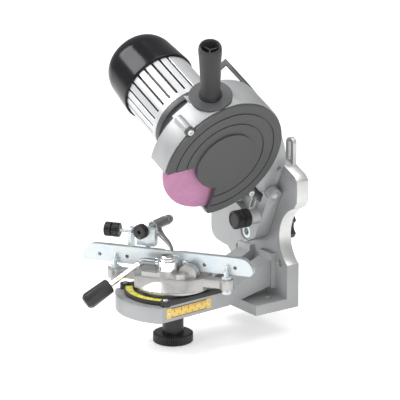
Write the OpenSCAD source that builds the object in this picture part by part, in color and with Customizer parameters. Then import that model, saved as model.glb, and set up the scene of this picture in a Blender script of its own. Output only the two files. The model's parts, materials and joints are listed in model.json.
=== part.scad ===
// Electric chain sharpener: a bench casting with a swivelling chain vise and a tilting, swinging grinding head.
// +X is the operator's right, -Y the front, +Z up. The origin is the centre of the foot's bottom face.

/* [Base] */
// Width of the foot
foot_w = 111; // [90:1:130]
// Depth of the foot, front to back
foot_d = 61; // [50:1:80]
// Thickness of the foot
foot_t = 12; // [8:0.5:16]
// Thickness of the upright plate
plate_t = 16.6; // [10:0.2:22]
// Distance from the foot's centre forward to the vise axis
vise_reach = 107.5; // [95:0.5:120]
// Radius of the round vise table
table_r = 66; // [60:0.5:70]
// Height of the table's underside
table_z0 = 12; // [10:0.5:16]
// Height of the table's top
table_z1 = 30; // [26:0.5:34]
// Radius of the bench and wall bolt holes
bolt_hole_r = 4.5; // [3:0.25:5.5]
// Distance between the two bench bolts
foot_bolt_gap = 76; // [70:1:84]
// Distance between the two wall bolts
wall_bolt_gap = 81; // [74:1:86]

/* [Head] */
// Tilt of the grinding head at rest
head_tilt = 25; // [0:1:35]
// Height of the tilt axis above the foot
tilt_axis_z = 83; // [80:0.5:88]
// Radius of the grinding wheel
wheel_r = 72.5; // [70:0.5:73]
// Thickness of the grinding wheel
wheel_t = 4.5; // [3:0.1:4.8]
// Radius of the wheel's bore
wheel_bore_r = 11.1; // [10:0.1:12]
// Wheel centre behind the vise axis
wheel_y = 25; // [20:0.5:30]
// Wheel centre above the tilt axis, along the tilted head
wheel_h = 128.4; // [125:0.1:135]
// Outer radius of the wheel housing
drum_r = 77; // [76:0.5:80]
// Radius of the ribbed motor body
motor_r = 42.5; // [40:0.5:45]
// Number of grooves between the motor's fins
motor_grooves = 26; // [20:1:32]
// Radius of the motor's end cap
cap_r = 45; // [44:0.5:48]
// Length of the handle above its flange
handle_len = 75; // [60:1:90]

/* [Vise] */
// Swivel of the vise at rest
vise_angle = 35; // [-35:1:35]
// Length of the chain rails
rail_len = 206; // [180:1:220]
// Bottom of the rails above the foot
rail_z0 = 58; // [57:0.5:60]
// Top of the rails above the foot
rail_z1 = 78; // [76:0.5:80]
// Thickness of each rail
rail_t = 3; // [2:0.5:4]
// Radius of the vise lock knob
lock_knob_r = 23; // [20:0.5:26]

/* [Hidden] */
$fn = 64;
eps = 0.01;

// Castings and finishes
CAST = "#A9ABAD";
BRIGHT = "#D2D3D2";
ZINC = "#C4CDD4";
BLACK = "#1E1E20";
DARK = "#565759";
FINS = "#E4E5E6";

back_y = foot_d / 2;              // rear face of the plate
plate_y = back_y - plate_t;       // front face of the plate
lobe_r = 41.2;                    // waist radius at the plate's right side
wall_hole_z = 51.3;
tilt_bolt_r = 5;
fit = 0.05;                       // radial clearance of running fits

// Head frame: x along the spindle towards the cover, y back from the vise axis, z up the tilted head
hinge_y = 112;
hinge_h = 64;
pin_r = 5;
bracket_x0 = -38;
bracket_x1 = 18;
bracket_front = 102;
bracket_back = 120.9;
arm_x0 = -28.5;
arm_x1 = 8;
drum_back = -21;
cover_x = 12;
window_a0 = 184;                  // window's limits, from the back over the top
window_a1 = 270;
depth_x = 9;
depth_h = 31;
knob_r = 10.8;
shield_x0 = -65;
shield_x1 = -57;
cap_x = -128;
cap_len = 60;
handle_a = 107.3;                 // handle's direction round the spindle
handle_x = -16.4;
handle_z = 75.4;                  // where the handle's flange sits, from the spindle
flange_r = 24.2;
box_a = 45;                       // switch box's direction round the spindle

// Vise frame: x along the rails, y to the rear, z up
stud_r = 6;
rail_gap = 2.2;
rail_shift = -6;                  // how far the rails' middle sits left of the vise axis
rail_end_r = 16;
cam_y = -18;
cam_r = 11.7;
cam_throw = 0.7;                  // how far the clamp's cam sits off its pin
fixed_rail_y = 1.6;
boss_x = 67.5;
boss_y = -9;
stop_z = 92.6;                      // height of the stop's adjusting screw
stop_y = 11;
stop_screw_r = 2.2;
pawl_rod_r = 2.4;
pawl_z = 97.3;
pawl_x = -38;
pawl_a = 12;                      // pawl axis, turned from square to the rails

function arc(cx, cy, r, a0, a1, n = 12) =
    [for (i = [0:n]) let (a = a0 + (a1 - a0) * i / n) [cx + r * cos(a), cy + r * sin(a)]];

module at_vise() { translate([0, -vise_reach, 0]) children(); }
module vise_frame() { at_vise() rotate([0, 0, vise_angle]) children(); }
module head_frame() { translate([0, -vise_reach, tilt_axis_z]) rotate([0, head_tilt, 0]) children(); }
// Spindle frame: z towards the cover, and angle a measured from the rear over the top
module spindle_frame() { head_frame() translate([0, wheel_y, wheel_h]) rotate([0, 90, 0]) children(); }
module at_angle(a) { rotate([0, 0, a + 90]) children(); }
module hinge_frame() { head_frame() translate([0, hinge_y, hinge_h]) rotate([0, 90, 0]) children(); }
// Draws an outline in the head's (y, z) plane and gives it the width from x0 to x1
module head_plate(x0, x1) {
    head_frame() translate([x0, 0, 0]) rotate([90, 0, 90]) linear_extrude(x1 - x0) children();
}
// Draws an outline in the (x, z) plane and gives it the depth from y0 to y1
module upright(y0, y1) { translate([0, y1, 0]) rotate([90, 0, 0]) linear_extrude(y1 - y0) children(); }
module tube(r, bore, h) {
    difference() {
        cylinder(r = r, h = h);
        translate([0, 0, -eps]) cylinder(r = bore, h = h + 2 * eps);
    }
}
module sector(r, a0, a1, h) {
    linear_extrude(h) polygon(concat([[0, 0]], arc(0, 0, r, a0, a1, 16)));
}
// A round knob with flutes cut along its side
module knurled(r, h, flutes = 24, cut = 0.9) {
    difference() {
        cylinder(r = r, h = h);
        for (i = [0:flutes - 1]) rotate([0, 0, 360 * i / flutes]) translate([r + cut * 0.3, 0, -eps])
            cylinder(r = cut, h = h + 2 * eps, $fn = 16);
    }
}
module hexagon(across, h) { cylinder(r = across / sqrt(3), h = h, $fn = 6); }

// ---- Base -------------------------------------------------------------------------------------
module plate_outline() {
    polygon(concat(
        [[-foot_w / 2, 0], [foot_w / 2, 0], [foot_w / 2, 52]],
        arc(80.8, 84.2, lobe_r, 231.3, 109.6, 14),
        [[72, 131], [72.5, 143], [72, 155], [67, 161], [51, 168]],
        arc(0, 40, 138, 68, 112, 12),
        [[-51, 168], [-62, 152], [-80, 134]],
        arc(-83, 110, 12, 120, 180, 5),
        arc(-81, 64, 14, 180, 262, 6),
        [[-71, 48], [-62, 47.5], [-foot_w / 2, 42]]));
}
module lug_outline(x) {
    difference() {
        union() {
            translate([x - 7, 160]) square([14, 33]);
            translate([x, 193]) circle(r = 7);
        }
        translate([x - 2.2, 176]) square([4.4, 17]);
        translate([x, 176]) circle(r = 2.2);
        translate([x, 193]) circle(r = 2.2);
    }
}
module arm_plan() {
    // Round in front, with flat sides from there to the plate
    intersection() {
        translate([0, -vise_reach]) circle(r = table_r, $fn = 96);
        translate([-80, -vise_reach - 80]) square([160, 80 - 47]);
    }
    polygon([[-45.3, -vise_reach - 48], [45.3, -vise_reach - 48], [30, plate_y + 1], [-30, plate_y + 1]]);
}
module arm_side() {
    polygon([[-vise_reach - 70, table_z0], [-56, table_z0], [plate_y + 1, 24], [plate_y + 1, 58],
        [-49.5, table_z1], [-vise_reach - 70, table_z1]]);
}
module base_casting() {
    color(CAST) difference() {
        union() {
            translate([-foot_w / 2, -foot_d / 2, 0]) cube([foot_w, foot_d, foot_t]);
            upright(plate_y, back_y) plate_outline();
            for (s = [-1, 1]) upright(back_y - 5, back_y) lug_outline(s * 42);
            intersection() {
                linear_extrude(80) arm_plan();
                translate([-80, 0, 0]) rotate([90, 0, 90]) linear_extrude(160) arm_side();
            }
            for (s = [-1, 1]) translate([s * 20 - 13, plate_y - 6, 20]) cube([26, 8, 42]);
        }
        translate([-9.5, -44, 20]) cube([19, plate_y + 44, 60]);
        at_vise() translate([0, 0, 5]) cylinder(r = stud_r + fit, h = 30);
        for (s = [-1, 1]) {
            translate([s * foot_bolt_gap / 2, 0, -1]) cylinder(r = bolt_hole_r, h = foot_t + 2);
            translate([s * wall_bolt_gap / 2, back_y + 1, wall_hole_z]) rotate([90, 0, 0])
                cylinder(r = bolt_hole_r, h = plate_t + 2);
        }
        translate([0, back_y + 1, tilt_axis_z]) rotate([90, 0, 0]) cylinder(r = tilt_bolt_r + fit, h = plate_t + 2);
        // Pockets that lighten the plate's rear face, between ribs
        for (s = [-1, 1]) {
            translate([s * 31 - 15, back_y - 9, 14]) cube([30, 10, 26]);
            translate([s * 28 - 10, back_y - 9, 100]) cube([20, 10, 42]);
        }
        translate([-78, back_y - 9, 62]) cube([38, 10, 56]);
        translate([50, back_y - 9, 126]) cube([14, 10, 26]);
    }
}
module scale_frame() {
    color(BLACK) at_vise() difference() {
        union() {
            translate([0, 0, table_z1]) intersection() {
                tube(56, 44, 5.2);
                sector(80, 220, 320, 6);
            }
            for (s = [-1, 1]) translate([0, 0, table_z1]) {
                linear_extrude(5.2) polygon([[s * 44.5, -42], [s * 36.5, -42], [s * 31, 44], [s * 37.6, 44]]);
                translate([s * 40.5, -38, 0]) cylinder(r = 6.2, h = 6.2);
            }
        }
        translate([0, 0, table_z1 + 4]) intersection() {
            tube(54.2, 45.8, 5);
            sector(80, 229, 311, 6);
        }
    }
}
module angle_scale_label() {
    color("#E1D71E") at_vise() translate([0, 0, table_z1 + 4]) intersection() {
        tube(54, 46, 0.9);
        translate([0, 0, -1]) sector(80, 229.3, 310.7, 6);
    }
}
side_face_a = atan((45.3 - 30) / (plate_y + 1 + vise_reach + 48));   // how far the arm's side turns in
module on_arm_side() {
    translate([45.3, -vise_reach - 48, 0]) rotate([0, 0, side_face_a]) children();
}
module side_scale_label() {
    color("#EBBE46") on_arm_side() translate([0, 8, 16]) cube([0.6, 66, 11.5]);
}
module label_rivets() {
    color(ZINC) {
        on_arm_side() for (y = [12, 70]) translate([0.6, y, 21.8]) rotate([0, 90, 0])
            cylinder(r = 1.6, h = 0.8);
        at_vise() for (s = [-1, 1]) translate([s * 40.5, -38, table_z1 + 6.2]) cylinder(r = 3, h = 1.4);
    }
}
module tilt_scale_label() {
    color("#E1D71E") translate([0, plate_y, tilt_axis_z]) rotate([90, 0, 0]) intersection() {
        tube(95, 84, 0.6);
        translate([0, 0, -1]) sector(120, 118, 166, 3);
    }
}

// ---- Tilt bracket -----------------------------------------------------------------------------
module bracket_outline() {   // drawn in the head's (x, z) plane
    polygon(concat([[bracket_x1, 8], [bracket_x1, 50], [bracket_x0, 50], [bracket_x0, 26]],
        arc(0, 0, 13, 170, 290, 10), [[12, -2], [17, 4]]));
}
module head_upright(y0, y1) {
    head_frame() translate([0, y1, 0]) rotate([90, 0, 0]) linear_extrude(y1 - y0) children();
}
module tilt_bracket() {
    color(CAST) difference() {
        union() {
            head_upright(bracket_front, bracket_back) bracket_outline();
            for (x = [[8.5, bracket_x1], [bracket_x0, -29]]) {
                head_plate(x[0], x[1]) {
                    translate([bracket_front, 40]) square([bracket_back - bracket_front, 24]);
                    translate([hinge_y, hinge_h]) circle(r = 8.9);
                }
            }
            head_frame() translate([depth_x, bracket_front + 2, depth_h]) rotate([90, 0, 0])
                cylinder(r = 9, h = 14);
            for (x = [-4, 3]) head_frame() translate([x - 1, bracket_front - 2.5, 34]) cube([2, 4, 16]);
        }
        hinge_frame() translate([0, 0, -45]) cylinder(r = pin_r, h = 70);
        head_frame() translate([0, 130, 0]) rotate([90, 0, 0]) cylinder(r = tilt_bolt_r, h = 60);
        head_frame() translate([0, bracket_front + 8, 0]) rotate([90, 0, 0]) cylinder(r = 9.5, h = 20);
        head_frame() translate([depth_x, 116, depth_h]) rotate([90, 0, 0]) cylinder(r = 4 + fit, h = 40);
        // Pocket in the front, left of the depth boss
        head_frame() translate([-32, bracket_front - 1, 20]) cube([26, 10, 24]);
    }
}
module tilt_bolt() {
    color(ZINC) head_frame() translate([0, bracket_front + 8, 0]) rotate([-90, 0, 0]) {
        translate([0, 0, -6.4]) hexagon(16, 6.4);
        cylinder(r = tilt_bolt_r, h = 46);
    }
}
module hinge_pin() {
    color(ZINC) hinge_frame() {
        translate([0, 0, bracket_x0 - 1.5]) cylinder(r = pin_r, h = bracket_x1 - bracket_x0 + 1);
        translate([0, 0, bracket_x0 - 3.5]) cylinder(r = 7, h = 2);
    }
}
// Torsion spring on the hinge pin: a round wire swept along its turns, with its ends run straight
spring_r = 6.9;
spring_wire = 1.6;
spring_turns = 5;
spring_pitch = 2.3;
spring_x0 = -16.4;
spring_steps = 24 * spring_turns;
spring_sides = 8;
function spring_point(i) = let (a = 360 * i / 24)
    [spring_r * cos(a), spring_r * sin(a), spring_x0 + spring_pitch * i / 24];
function spring_dir(i) = let (a = 360 * i / 24, v = [-sin(a), cos(a), spring_pitch / (2 * PI * spring_r)])
    v / norm(v);
spring_route = concat(
    [[spring_r, -6, spring_x0], [spring_r, -3, spring_x0]],
    [for (i = [0:spring_steps]) spring_point(i)],
    [[spring_r, 3, spring_x0 + spring_pitch * spring_turns], [spring_r, 6, spring_x0 + spring_pitch * spring_turns]]);
function route_dir(p, i) = let (v = p[min(i + 1, len(p) - 1)] - p[max(i - 1, 0)]) v / norm(v);
module sweep(p, r, sides) {
    n = len(p);
    points = [for (i = [0:n - 1]) let (t = route_dir(p, i), u = cross(t, [t[1], -t[0], 0.01]), w = u / norm(u),
        q = cross(t, w)) for (k = [0:sides - 1]) let (a = 360 * k / sides) p[i] + r * (w * cos(a) + q * sin(a))];
    walls = [for (i = [0:n - 2], k = [0:sides - 1]) let (a = i * sides + k, b = i * sides + (k + 1) % sides)
        each [[a, b, a + sides], [b, b + sides, a + sides]]];
    ends = [for (k = [1:sides - 2]) each [[0, k + 1, k],
        [(n - 1) * sides, (n - 1) * sides + k, (n - 1) * sides + k + 1]]];
    polyhedron(points = points, faces = [for (f = concat(walls, ends)) [f[0], f[2], f[1]]]);
}
module return_spring() { color(ZINC) hinge_frame() sweep(spring_route, spring_wire / 2, spring_sides); }
module tilt_lock_knob() {
    color(BLACK) translate([0, back_y + 0.3, tilt_axis_z]) rotate([-90, 0, 0]) difference() {
        union() {
            cylinder(r = 11, h = 8);
            translate([0, 0, 8]) knurled(21, 15, 6, 8);
        }
        translate([0, 0, -1]) cylinder(r = tilt_bolt_r + fit, h = 19);
    }
}
module depth_frame() { head_frame() translate([depth_x, 0, depth_h]) rotate([-90, 0, 0]) children(); }
module depth_screw() { color(ZINC) depth_frame() translate([0, 0, 72]) cylinder(r = 4, h = 36); }
module depth_knob() {
    color(BLACK) depth_frame() difference() {
        translate([0, 0, 69.7]) knurled(knob_r, 9.7);
        translate([0, 0, 71.5]) cylinder(r = 4 + fit, h = 10);
        translate([0, 0, 68]) cylinder(r = 2.2, h = 3);
    }
}
module depth_lock_nut() {
    color(BLACK) depth_frame() translate([0, 0, 79.8]) difference() {
        knurled(knob_r, 9.8);
        translate([0, 0, -1]) cylinder(r = 4 + fit, h = 12);
    }
}

// ---- Grinding head ----------------------------------------------------------------------------
module arm_outline() {   // drawn in the head's (y, z) plane
    polygon(concat([[78, 92], [81.5, 83], [96, 67]], arc(hinge_y, hinge_h, 8.7, 175, 350, 10),
        [[120.4, 66], [120.4, 105], [116.3, 118], [111, 130], [101, 148], [88, 162], [60, 150]]));
}
module window(r0, x0, x1) {
    spindle_frame() translate([0, 0, x0]) difference() {
        at_angle(0) sector(100, window_a0, window_a1, x1 - x0);
        translate([0, 0, -1]) cylinder(r = r0, h = x1 - x0 + 2);
    }
}
ear_angles = [140, -46];
module wheel_housing() {
    color(CAST) difference() {
        union() {
            spindle_frame() {
                difference() {
                    translate([0, 0, drum_back]) cylinder(r = drum_r, h = 8 - drum_back, $fn = 128);
                    translate([0, 0, -17]) cylinder(r = 74.2, h = 40, $fn = 128);
                }
                for (a = ear_angles) at_angle(a) translate([drum_r + 2.6, 0, -14]) cylinder(r = 5, h = 21.9);
                // Spine that carries the switch box, behind the drum
                translate([0, 0, -36]) difference() {
                    cylinder(r = drum_r - 0.5, h = 16);
                    translate([0, 0, -1]) at_angle(0) sector(160, 125, 360, 20);
                }
                // Pads for the handle and the label
                at_angle(handle_a) translate([42, -22, -42]) cube([33.6, 44, 24.6]);
                at_angle(135) translate([41, -15, -49.2]) cube([3.6, 26, 29.5]);
                at_angle(-66) translate([75, -3, -4]) cube([2.6, 6, 10]);
            }
            difference() {
                head_plate(arm_x0, arm_x1) arm_outline();
                spindle_frame() translate([0, 0, -17]) cylinder(r = 74.2, h = 40, $fn = 128);
            }
        }
        spindle_frame() {
            translate([0, 0, -60]) cylinder(r = 40, h = 60);
            for (a = ear_angles) at_angle(a) translate([drum_r + 2.6, 0, -10]) cylinder(r = 2, h = 22);
            at_angle(handle_a) translate([0, 0, handle_x]) rotate([0, 90, 0]) {
                translate([0, 0, 50]) cylinder(r = 3.05, h = 40);
                translate([0, 0, handle_z]) cylinder(r = flange_r + 0.4, h = 20);
            }
        }
        window(44, drum_back - 1, 30);
        hinge_frame() {
            translate([0, 0, -60]) cylinder(r = pin_r + fit, h = 90);
            translate([0, 0, -18]) cylinder(r = 11.5, h = 16);
        }
        head_frame() translate([-3, 113.6, 97.1]) rotate([0, 90, 0]) cylinder(r = 3.2, h = 12);
        // Pocket in the arm's left side
        head_frame() translate([arm_x0 - 1, 99, 82]) cube([22, 14, 30]);
    }
}
module motor_front_shield() {
    color(DARK) spindle_frame() difference() {
        union() {
            translate([0, 0, shield_x0]) cylinder(r = 43.5, h = shield_x1 - shield_x0);
            translate([0, 0, shield_x1]) cylinder(r = 39.7, h = drum_back - shield_x1 + 4);
        }
        translate([0, 0, shield_x0 - 1]) cylinder(r = 36, h = 36);
        translate([0, 0, -31]) cylinder(r = 13, h = 12);
        translate([0, 0, -50]) cylinder(r = 9.5, h = 50);
    }
}
module motor_body() {
    color(FINS) spindle_frame() translate([0, 0, cap_x]) difference() {
        cylinder(r = motor_r, h = shield_x0 - cap_x);
        translate([0, 0, -1]) cylinder(r = 36.5, h = 80);
        for (i = [0:motor_grooves - 1]) rotate([0, 0, 360 * (i + 0.5) / motor_grooves])
            translate([motor_r - 3.6, -1.2, -1]) cube([8, 2.4, 80]);
    }
}
module stator_core() {
    color(DARK) spindle_frame() translate([0, 0, -120]) difference() {
        cylinder(r = 36.5, h = 45);
        translate([0, 0, -1]) cylinder(r = 21.5, h = 50);
        for (i = [0:11]) rotate([0, 0, 30 * i]) translate([20, -2, -1]) cube([9, 4, 50]);
    }
}
module stator_windings() {
    color("#B4662E") spindle_frame() for (z = [-130, -75]) translate([0, 0, z]) tube(34, 24, 10);
}
module motor_rear_shield() {
    color(DARK) spindle_frame() difference() {
        union() {
            translate([0, 0, -136]) cylinder(r = 42, h = 5.7);
            translate([0, 0, -146]) cylinder(r = 16, h = 11);
        }
        translate([0, 0, -146.1]) cylinder(r = 11, h = 8.1);
        translate([0, 0, -160]) cylinder(r = 7, h = 50);
    }
}
module motor_cap() {
    color(BLACK) spindle_frame() difference() {
        rotate_extrude($fn = 96) polygon(concat([[0, cap_x - cap_len]],
            [for (i = [0:14]) let (a = 90 * i / 14) [26 + 16 * sin(a), cap_x - cap_len + 26 * (1 - cos(a))]],
            [[cap_r, cap_x - 12], [cap_r, cap_x], [0, cap_x]]));
        rotate_extrude($fn = 96) polygon([[0, cap_x - cap_len + 3], [26, cap_x - cap_len + 3],
            [34, cap_x - cap_len + 8], [39, cap_x - cap_len + 20], [42.5, cap_x - 10], [42.5, cap_x + 1],
            [0, cap_x + 1]]);
    }
}
module wheel_cover() {
    color(DARK) difference() {
        spindle_frame() union() {
            translate([0, 0, 8]) cylinder(r = 75.6, h = cover_x - 8, $fn = 128);
            for (a = ear_angles) at_angle(a) translate([drum_r + 2.6, 0, 8]) cylinder(r = 5.6, h = 3);
            for (a = ear_angles) at_angle(a) translate([70, -5.6, 8]) cube([9, 11.2, 3]);
            translate([0, 0, 8]) cylinder(r = 37, h = 6);
            // Lip that locates the cover inside the drum
            translate([0, 0, 5]) tube(73.9, 71.5, 4);
        }
        spindle_frame() {
            translate([0, 0, 4]) cylinder(r = 34, h = 7.4);
            for (r = [64.7, 50.8]) translate([0, 0, cover_x - 1.2]) tube(r + 0.9, r - 0.9, 3);
            for (a = ear_angles) at_angle(a) translate([drum_r + 2.6, 0, 0]) cylinder(r = 2.2, h = 30);
        }
        window(36, 0, 30);
    }
}
module cover_screws() {
    color(ZINC) spindle_frame() for (a = ear_angles) at_angle(a) translate([drum_r + 2.6, 0, -8]) {
        cylinder(r = 1.95, h = 19);
        translate([0, 0, 19]) cylinder(r = 3.6, h = 2.6);
    }
}
module handle_frame() { spindle_frame() at_angle(handle_a) translate([0, 0, handle_x]) rotate([0, 90, 0]) children(); }
module handle_flange() {
    color("#7C7D7E") handle_frame() translate([0, 0, handle_z]) difference() {
        union() {
            cylinder(r = flange_r, h = 3);
            translate([0, 0, 3]) cylinder(r = 12.6, h = 3);
        }
        translate([0, 0, -1]) cylinder(r = 3.05, h = 20);
    }
}
module handle_grip() {
    color(BLACK) handle_frame() translate([0, 0, handle_z + 6]) difference() {
        rotate_extrude() polygon([[0, 0], [11, 0], [11.2, 20], [12.8, handle_len - 14],
            [12.8, handle_len - 10], [11.5, handle_len - 5], [0, handle_len - 5]]);
        translate([0, 0, -1]) cylinder(r = 3.05, h = 30);
        difference() {
            translate([0, 0, 34]) cylinder(r = 9.6, h = 60);
            for (i = [0:2]) rotate([0, 0, 120 * i + 20]) translate([0, -0.8, 30]) cube([10, 1.6, 35]);
        }
    }
}
module handle_bolt() { color(ZINC) handle_frame() translate([0, 0, 52]) cylinder(r = 3, h = 52); }
// Switch box: x' away from the spindle, y' down the box's operating face
module box_frame() { spindle_frame() at_angle(box_a) children(); }
module switch_box() {
    color(BLACK) box_frame() difference() {
        translate([43.7, -16, -86]) cube([33.5, 28, 49.7]);
        translate([46.4, -12, -82]) cube([22.6, 20, 42]);
        translate([50, 6, -78]) cube([23, 10, 32]);
        translate([58, -2, -90]) rotate([0, 0, 0]) cylinder(r = 5.05, h = 10);
    }
}
module switch_rocker() {
    color(BRIGHT) box_frame() translate([50.7, 0, -62]) rotate([0, 90, 0]) linear_extrude(21.6)
        polygon([[-15.3, 9.2], [15.3, 7.8], [15.3, 12.6], [0, 12.2], [-15.3, 14.6]]);
}
module capacitor() { color(BRIGHT) box_frame() translate([58, -2, -80]) cylinder(r = 7.5, h = 38); }
module cable_gland() {
    color(BLACK) box_frame() translate([58, -2, -86]) {
        translate([0, 0, -12]) tube(6.5, 3.4, 6);
        translate([0, 0, -6]) difference() {
            hexagon(16, 6);
            translate([0, 0, -1]) cylinder(r = 3.4, h = 8);
        }
        tube(5, 3.4, 4);
    }
}
module motor_shaft() {
    color(ZINC) spindle_frame() {
        translate([0, 0, -168]) cylinder(r = 5, h = 40);
        translate([0, 0, -138.2]) cylinder(r = 5, h = 12);
        translate([0, 0, -128]) cylinder(r = 8, h = 97);
        translate([0, 0, -31]) cylinder(r = 6, h = 18);
        translate([0, 0, -13]) cylinder(r = 8, h = 17.5);
        translate([0, 0, 4]) cylinder(r = 5, h = 6.8);
    }
}
module rotor_core() { color(DARK) spindle_frame() translate([0, 0, -120]) tube(21, 8, 45); }
module motor_bearings() {
    color(ZINC) spindle_frame() {
        translate([0, 0, -146]) tube(11, 5 + fit, 8);
        translate([0, 0, -30.5]) tube(13, 6 + fit, 9);
    }
}
module cooling_fan() {
    color("#3A3A3C") spindle_frame() translate([0, 0, -166]) difference() {
        union() {
            cylinder(r = 9, h = 12);
            translate([0, 0, 10]) cylinder(r = 32, h = 2);
            for (i = [0:8]) rotate([0, 0, 40 * i]) translate([8, -0.8, 0]) cube([24, 1.6, 11]);
        }
        translate([0, 0, -1]) cylinder(r = 5, h = 15);
    }
}
module inner_flange() { color(ZINC) spindle_frame() translate([0, 0, -8.25]) tube(26, 8, 6); }
module grinding_wheel() {
    color("#C48CAF") spindle_frame() translate([0, 0, -wheel_t / 2]) difference() {
        cylinder(r = wheel_r, h = wheel_t, $fn = 128);
        translate([0, 0, -1]) cylinder(r = wheel_bore_r, h = wheel_t + 2);
    }
}
module outer_flange() {
    color(ZINC) spindle_frame() {
        translate([0, 0, wheel_t / 2]) tube(26, 8, 2.2);
        translate([0, 0, -wheel_t / 2 + 0.1]) tube(11, 8, wheel_t);
    }
}
module arbor_nut() {
    color(ZINC) spindle_frame() translate([0, 0, 4.5]) difference() {
        hexagon(19, 5.5);
        translate([0, 0, -1]) cylinder(r = 5, h = 10);
    }
}

// ---- Vise -------------------------------------------------------------------------------------
module block_plan() {     // the swivel's flat-sided block, seen from above
    polygon([[-34.8, -31.2], [28.8, -31.2], [41.7, -15.2], [41.7, 16], [29, 31.2], [-29, 31.2],
        [-41.7, 16], [-41.7, -15.2]]);
}
module top_plan() {       // and the plate on top of it
    polygon([[-27, -29.5], [15, -29.5], [23.1, -24.2], [33.6, -3.4], [28, 20], [-28, 20], [-35, -4]]);
}
module vise_body() {
    color(BRIGHT) vise_frame() difference() {
        union() {
            translate([0, 0, table_z1 + 0.3]) cylinder(r = 33.2, h = 8);
            translate([0, 0, 37.6]) cylinder(r = 42.6, h = 2.4, $fn = 96);
            // Sloping foot, which shows as an arch in the block's flat front
            translate([-2.4, 0, 40]) cylinder(r1 = 40.1, r2 = 28.6, h = 13, $fn = 96);
            translate([0, 0, 40]) linear_extrude(13.6) block_plan();
            translate([0, 0, 53]) linear_extrude(6.4) top_plan();
            // Half-round boss beside the clamp
            translate([24, -8, 58]) rotate([90, 0, 0]) cylinder(r = 10.4, h = 10.5);
            translate([-22, 5, 52]) cube([44, 15, 20]);
            for (s = [-1, 1]) {
                translate([s * 53 - 14, boss_y - 6.2, 44]) cube([28, 12.4, 9.4]);
                translate([s * boss_x, boss_y, 43]) cylinder(r = 8.5, h = 11);
            }
            translate([0, cam_y, 52]) cylinder(r = 12.5, h = 9);
            // Mark that reads on the angle scale
            translate([-11.6, -43, 37.8]) cube([1.2, 4, 2.6]);
        }
        // Slot across the top plate in which both rails stand
        translate([-60, -4.3, rail_z0 - 0.3]) cube([120, 9.2, 4]);
        translate([0, 0, 25]) cylinder(r = stud_r, h = 20);
        translate([0, cam_y, 48]) cylinder(r = 4, h = 20);
        for (s = [-1, 1]) translate([s * boss_x, boss_y, 30]) cylinder(r = 3, h = 40);
        for (s = [-1, 1]) translate([s * 17, 30, 66]) rotate([90, 0, 0]) cylinder(r = 2, h = 30);
    }
}
module vise_stud() { color(ZINC) at_vise() translate([0, 0, -22]) cylinder(r = stud_r, h = 66); }
module rail_outline() {
    polygon(concat([[-rail_len / 2 + 3, rail_z0], [rail_len / 2 - 3, rail_z0], [rail_len / 2, rail_z0 + 3]],
        arc(rail_len / 2 - rail_end_r, rail_z1 - rail_end_r, rail_end_r, 0, 90, 8),
        arc(-rail_len / 2 + rail_end_r, rail_z1 - rail_end_r, rail_end_r, 90, 180, 8),
        [[-rail_len / 2, rail_z0 + 3]]));
}
module rail(y0) {
    difference() {
        upright(y0, y0 + rail_t) translate([rail_shift, 0]) rail_outline();
        for (x = [-88, -54.4, 39.3, 76]) translate([x, y0 + rail_t + 1, 66.5]) rotate([90, 0, 0])
            cylinder(r = 2.2, h = rail_t + 2);
    }
}
module fixed_rail() {
    color(ZINC) vise_frame() difference() {
        rail(fixed_rail_y);
        for (s = [-1, 1]) translate([s * 17, 8, 66]) rotate([90, 0, 0]) cylinder(r = 2, h = 12);
        translate([-11.2, 0, 70]) cube([18.7, 8, 10]);
    }
}
module rail_screws() {
    color(ZINC) vise_frame() for (s = [-1, 1]) translate([s * 17, -5, 66]) rotate([-90, 0, 0]) {
        cylinder(r = 1.95, h = 26);
        translate([0, 0, -1.9]) cylinder(r = 3.4, h = 2);
    }
}
module rail_height_screws() {
    color(ZINC) vise_frame() for (s = [-1, 1]) translate([s * boss_x, boss_y, 0]) {
        translate([0, 0, 36]) cylinder(r = 2.95, h = 30);
        translate([0, 0, 53]) hexagon(10, 4);
        translate([0, 0, 37]) hexagon(10, 4.8);
        translate([-2.5, 0, 63]) cube([5, 3.4, 3.5]);
    }
}
module cam_pin() {
    color(ZINC) vise_frame() translate([0, cam_y, 49]) {
        cylinder(r = 3.98, h = 28);
        translate([0, 0, 26.2]) cylinder(r = 7.5, h = 2.5);
    }
}
module stop_post() {
    color(ZINC) vise_frame() difference() {
        union() {
            translate([-56.5, 4.8, 62]) cube([4, 12, 31]);
            translate([-56.5, stop_y, stop_z]) rotate([0, 90, 0]) cylinder(r = 6, h = 4);
            translate([-56.5, 4.8, 60]) cube([16, 3, 14]);
        }
        translate([-60, stop_y, stop_z]) rotate([0, 90, 0]) cylinder(r = stop_screw_r + fit, h = 12);
    }
}
module moving_rail() {
    color(ZINC) vise_frame() {
        difference() {
            rail(fixed_rail_y - rail_gap - rail_t);
            for (s = [-1, 1]) translate([s * 17, 0, 66]) rotate([90, 0, 0]) cylinder(r = 2.3, h = 6);
        }
        translate([-9, -5.7, 62]) cube([18, 2.2, 12]);
    }
}
module clamp_cam() {
    color(BRIGHT) vise_frame() translate([0, cam_y, 61.3]) difference() {
        union() {
            translate([cam_throw, 0, 0]) cylinder(r = cam_r, h = 11);
            translate([0, 0, 11]) cylinder(r = 8.6, h = 2.6);
        }
        translate([0, 0, -1]) cylinder(r = 4.04, h = 20);
        translate([0, 0, 6.7]) rotate([0, -90, 0]) cylinder(r = 3, h = 20);
    }
}
lever_z = 68;
lever_a = 42;                     // how far the lever bends forward, seen from above
lever_drop = 31;                  // and how far it bends down
module lever_bend() {
    translate([-30, cam_y, lever_z]) rotate([0, 0, 180 + lever_a]) rotate([0, 90 + lever_drop, 0]) children();
}
module clamp_lever() {
    color(BRIGHT) vise_frame() {
        translate([-5.5, cam_y, lever_z]) rotate([0, -90, 0]) cylinder(r = 2.98, h = 24.5);
        translate([-30, cam_y, lever_z]) sphere(r = 3.2);
        lever_bend() cylinder(r = 3.2, h = 56);
    }
}
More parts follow.
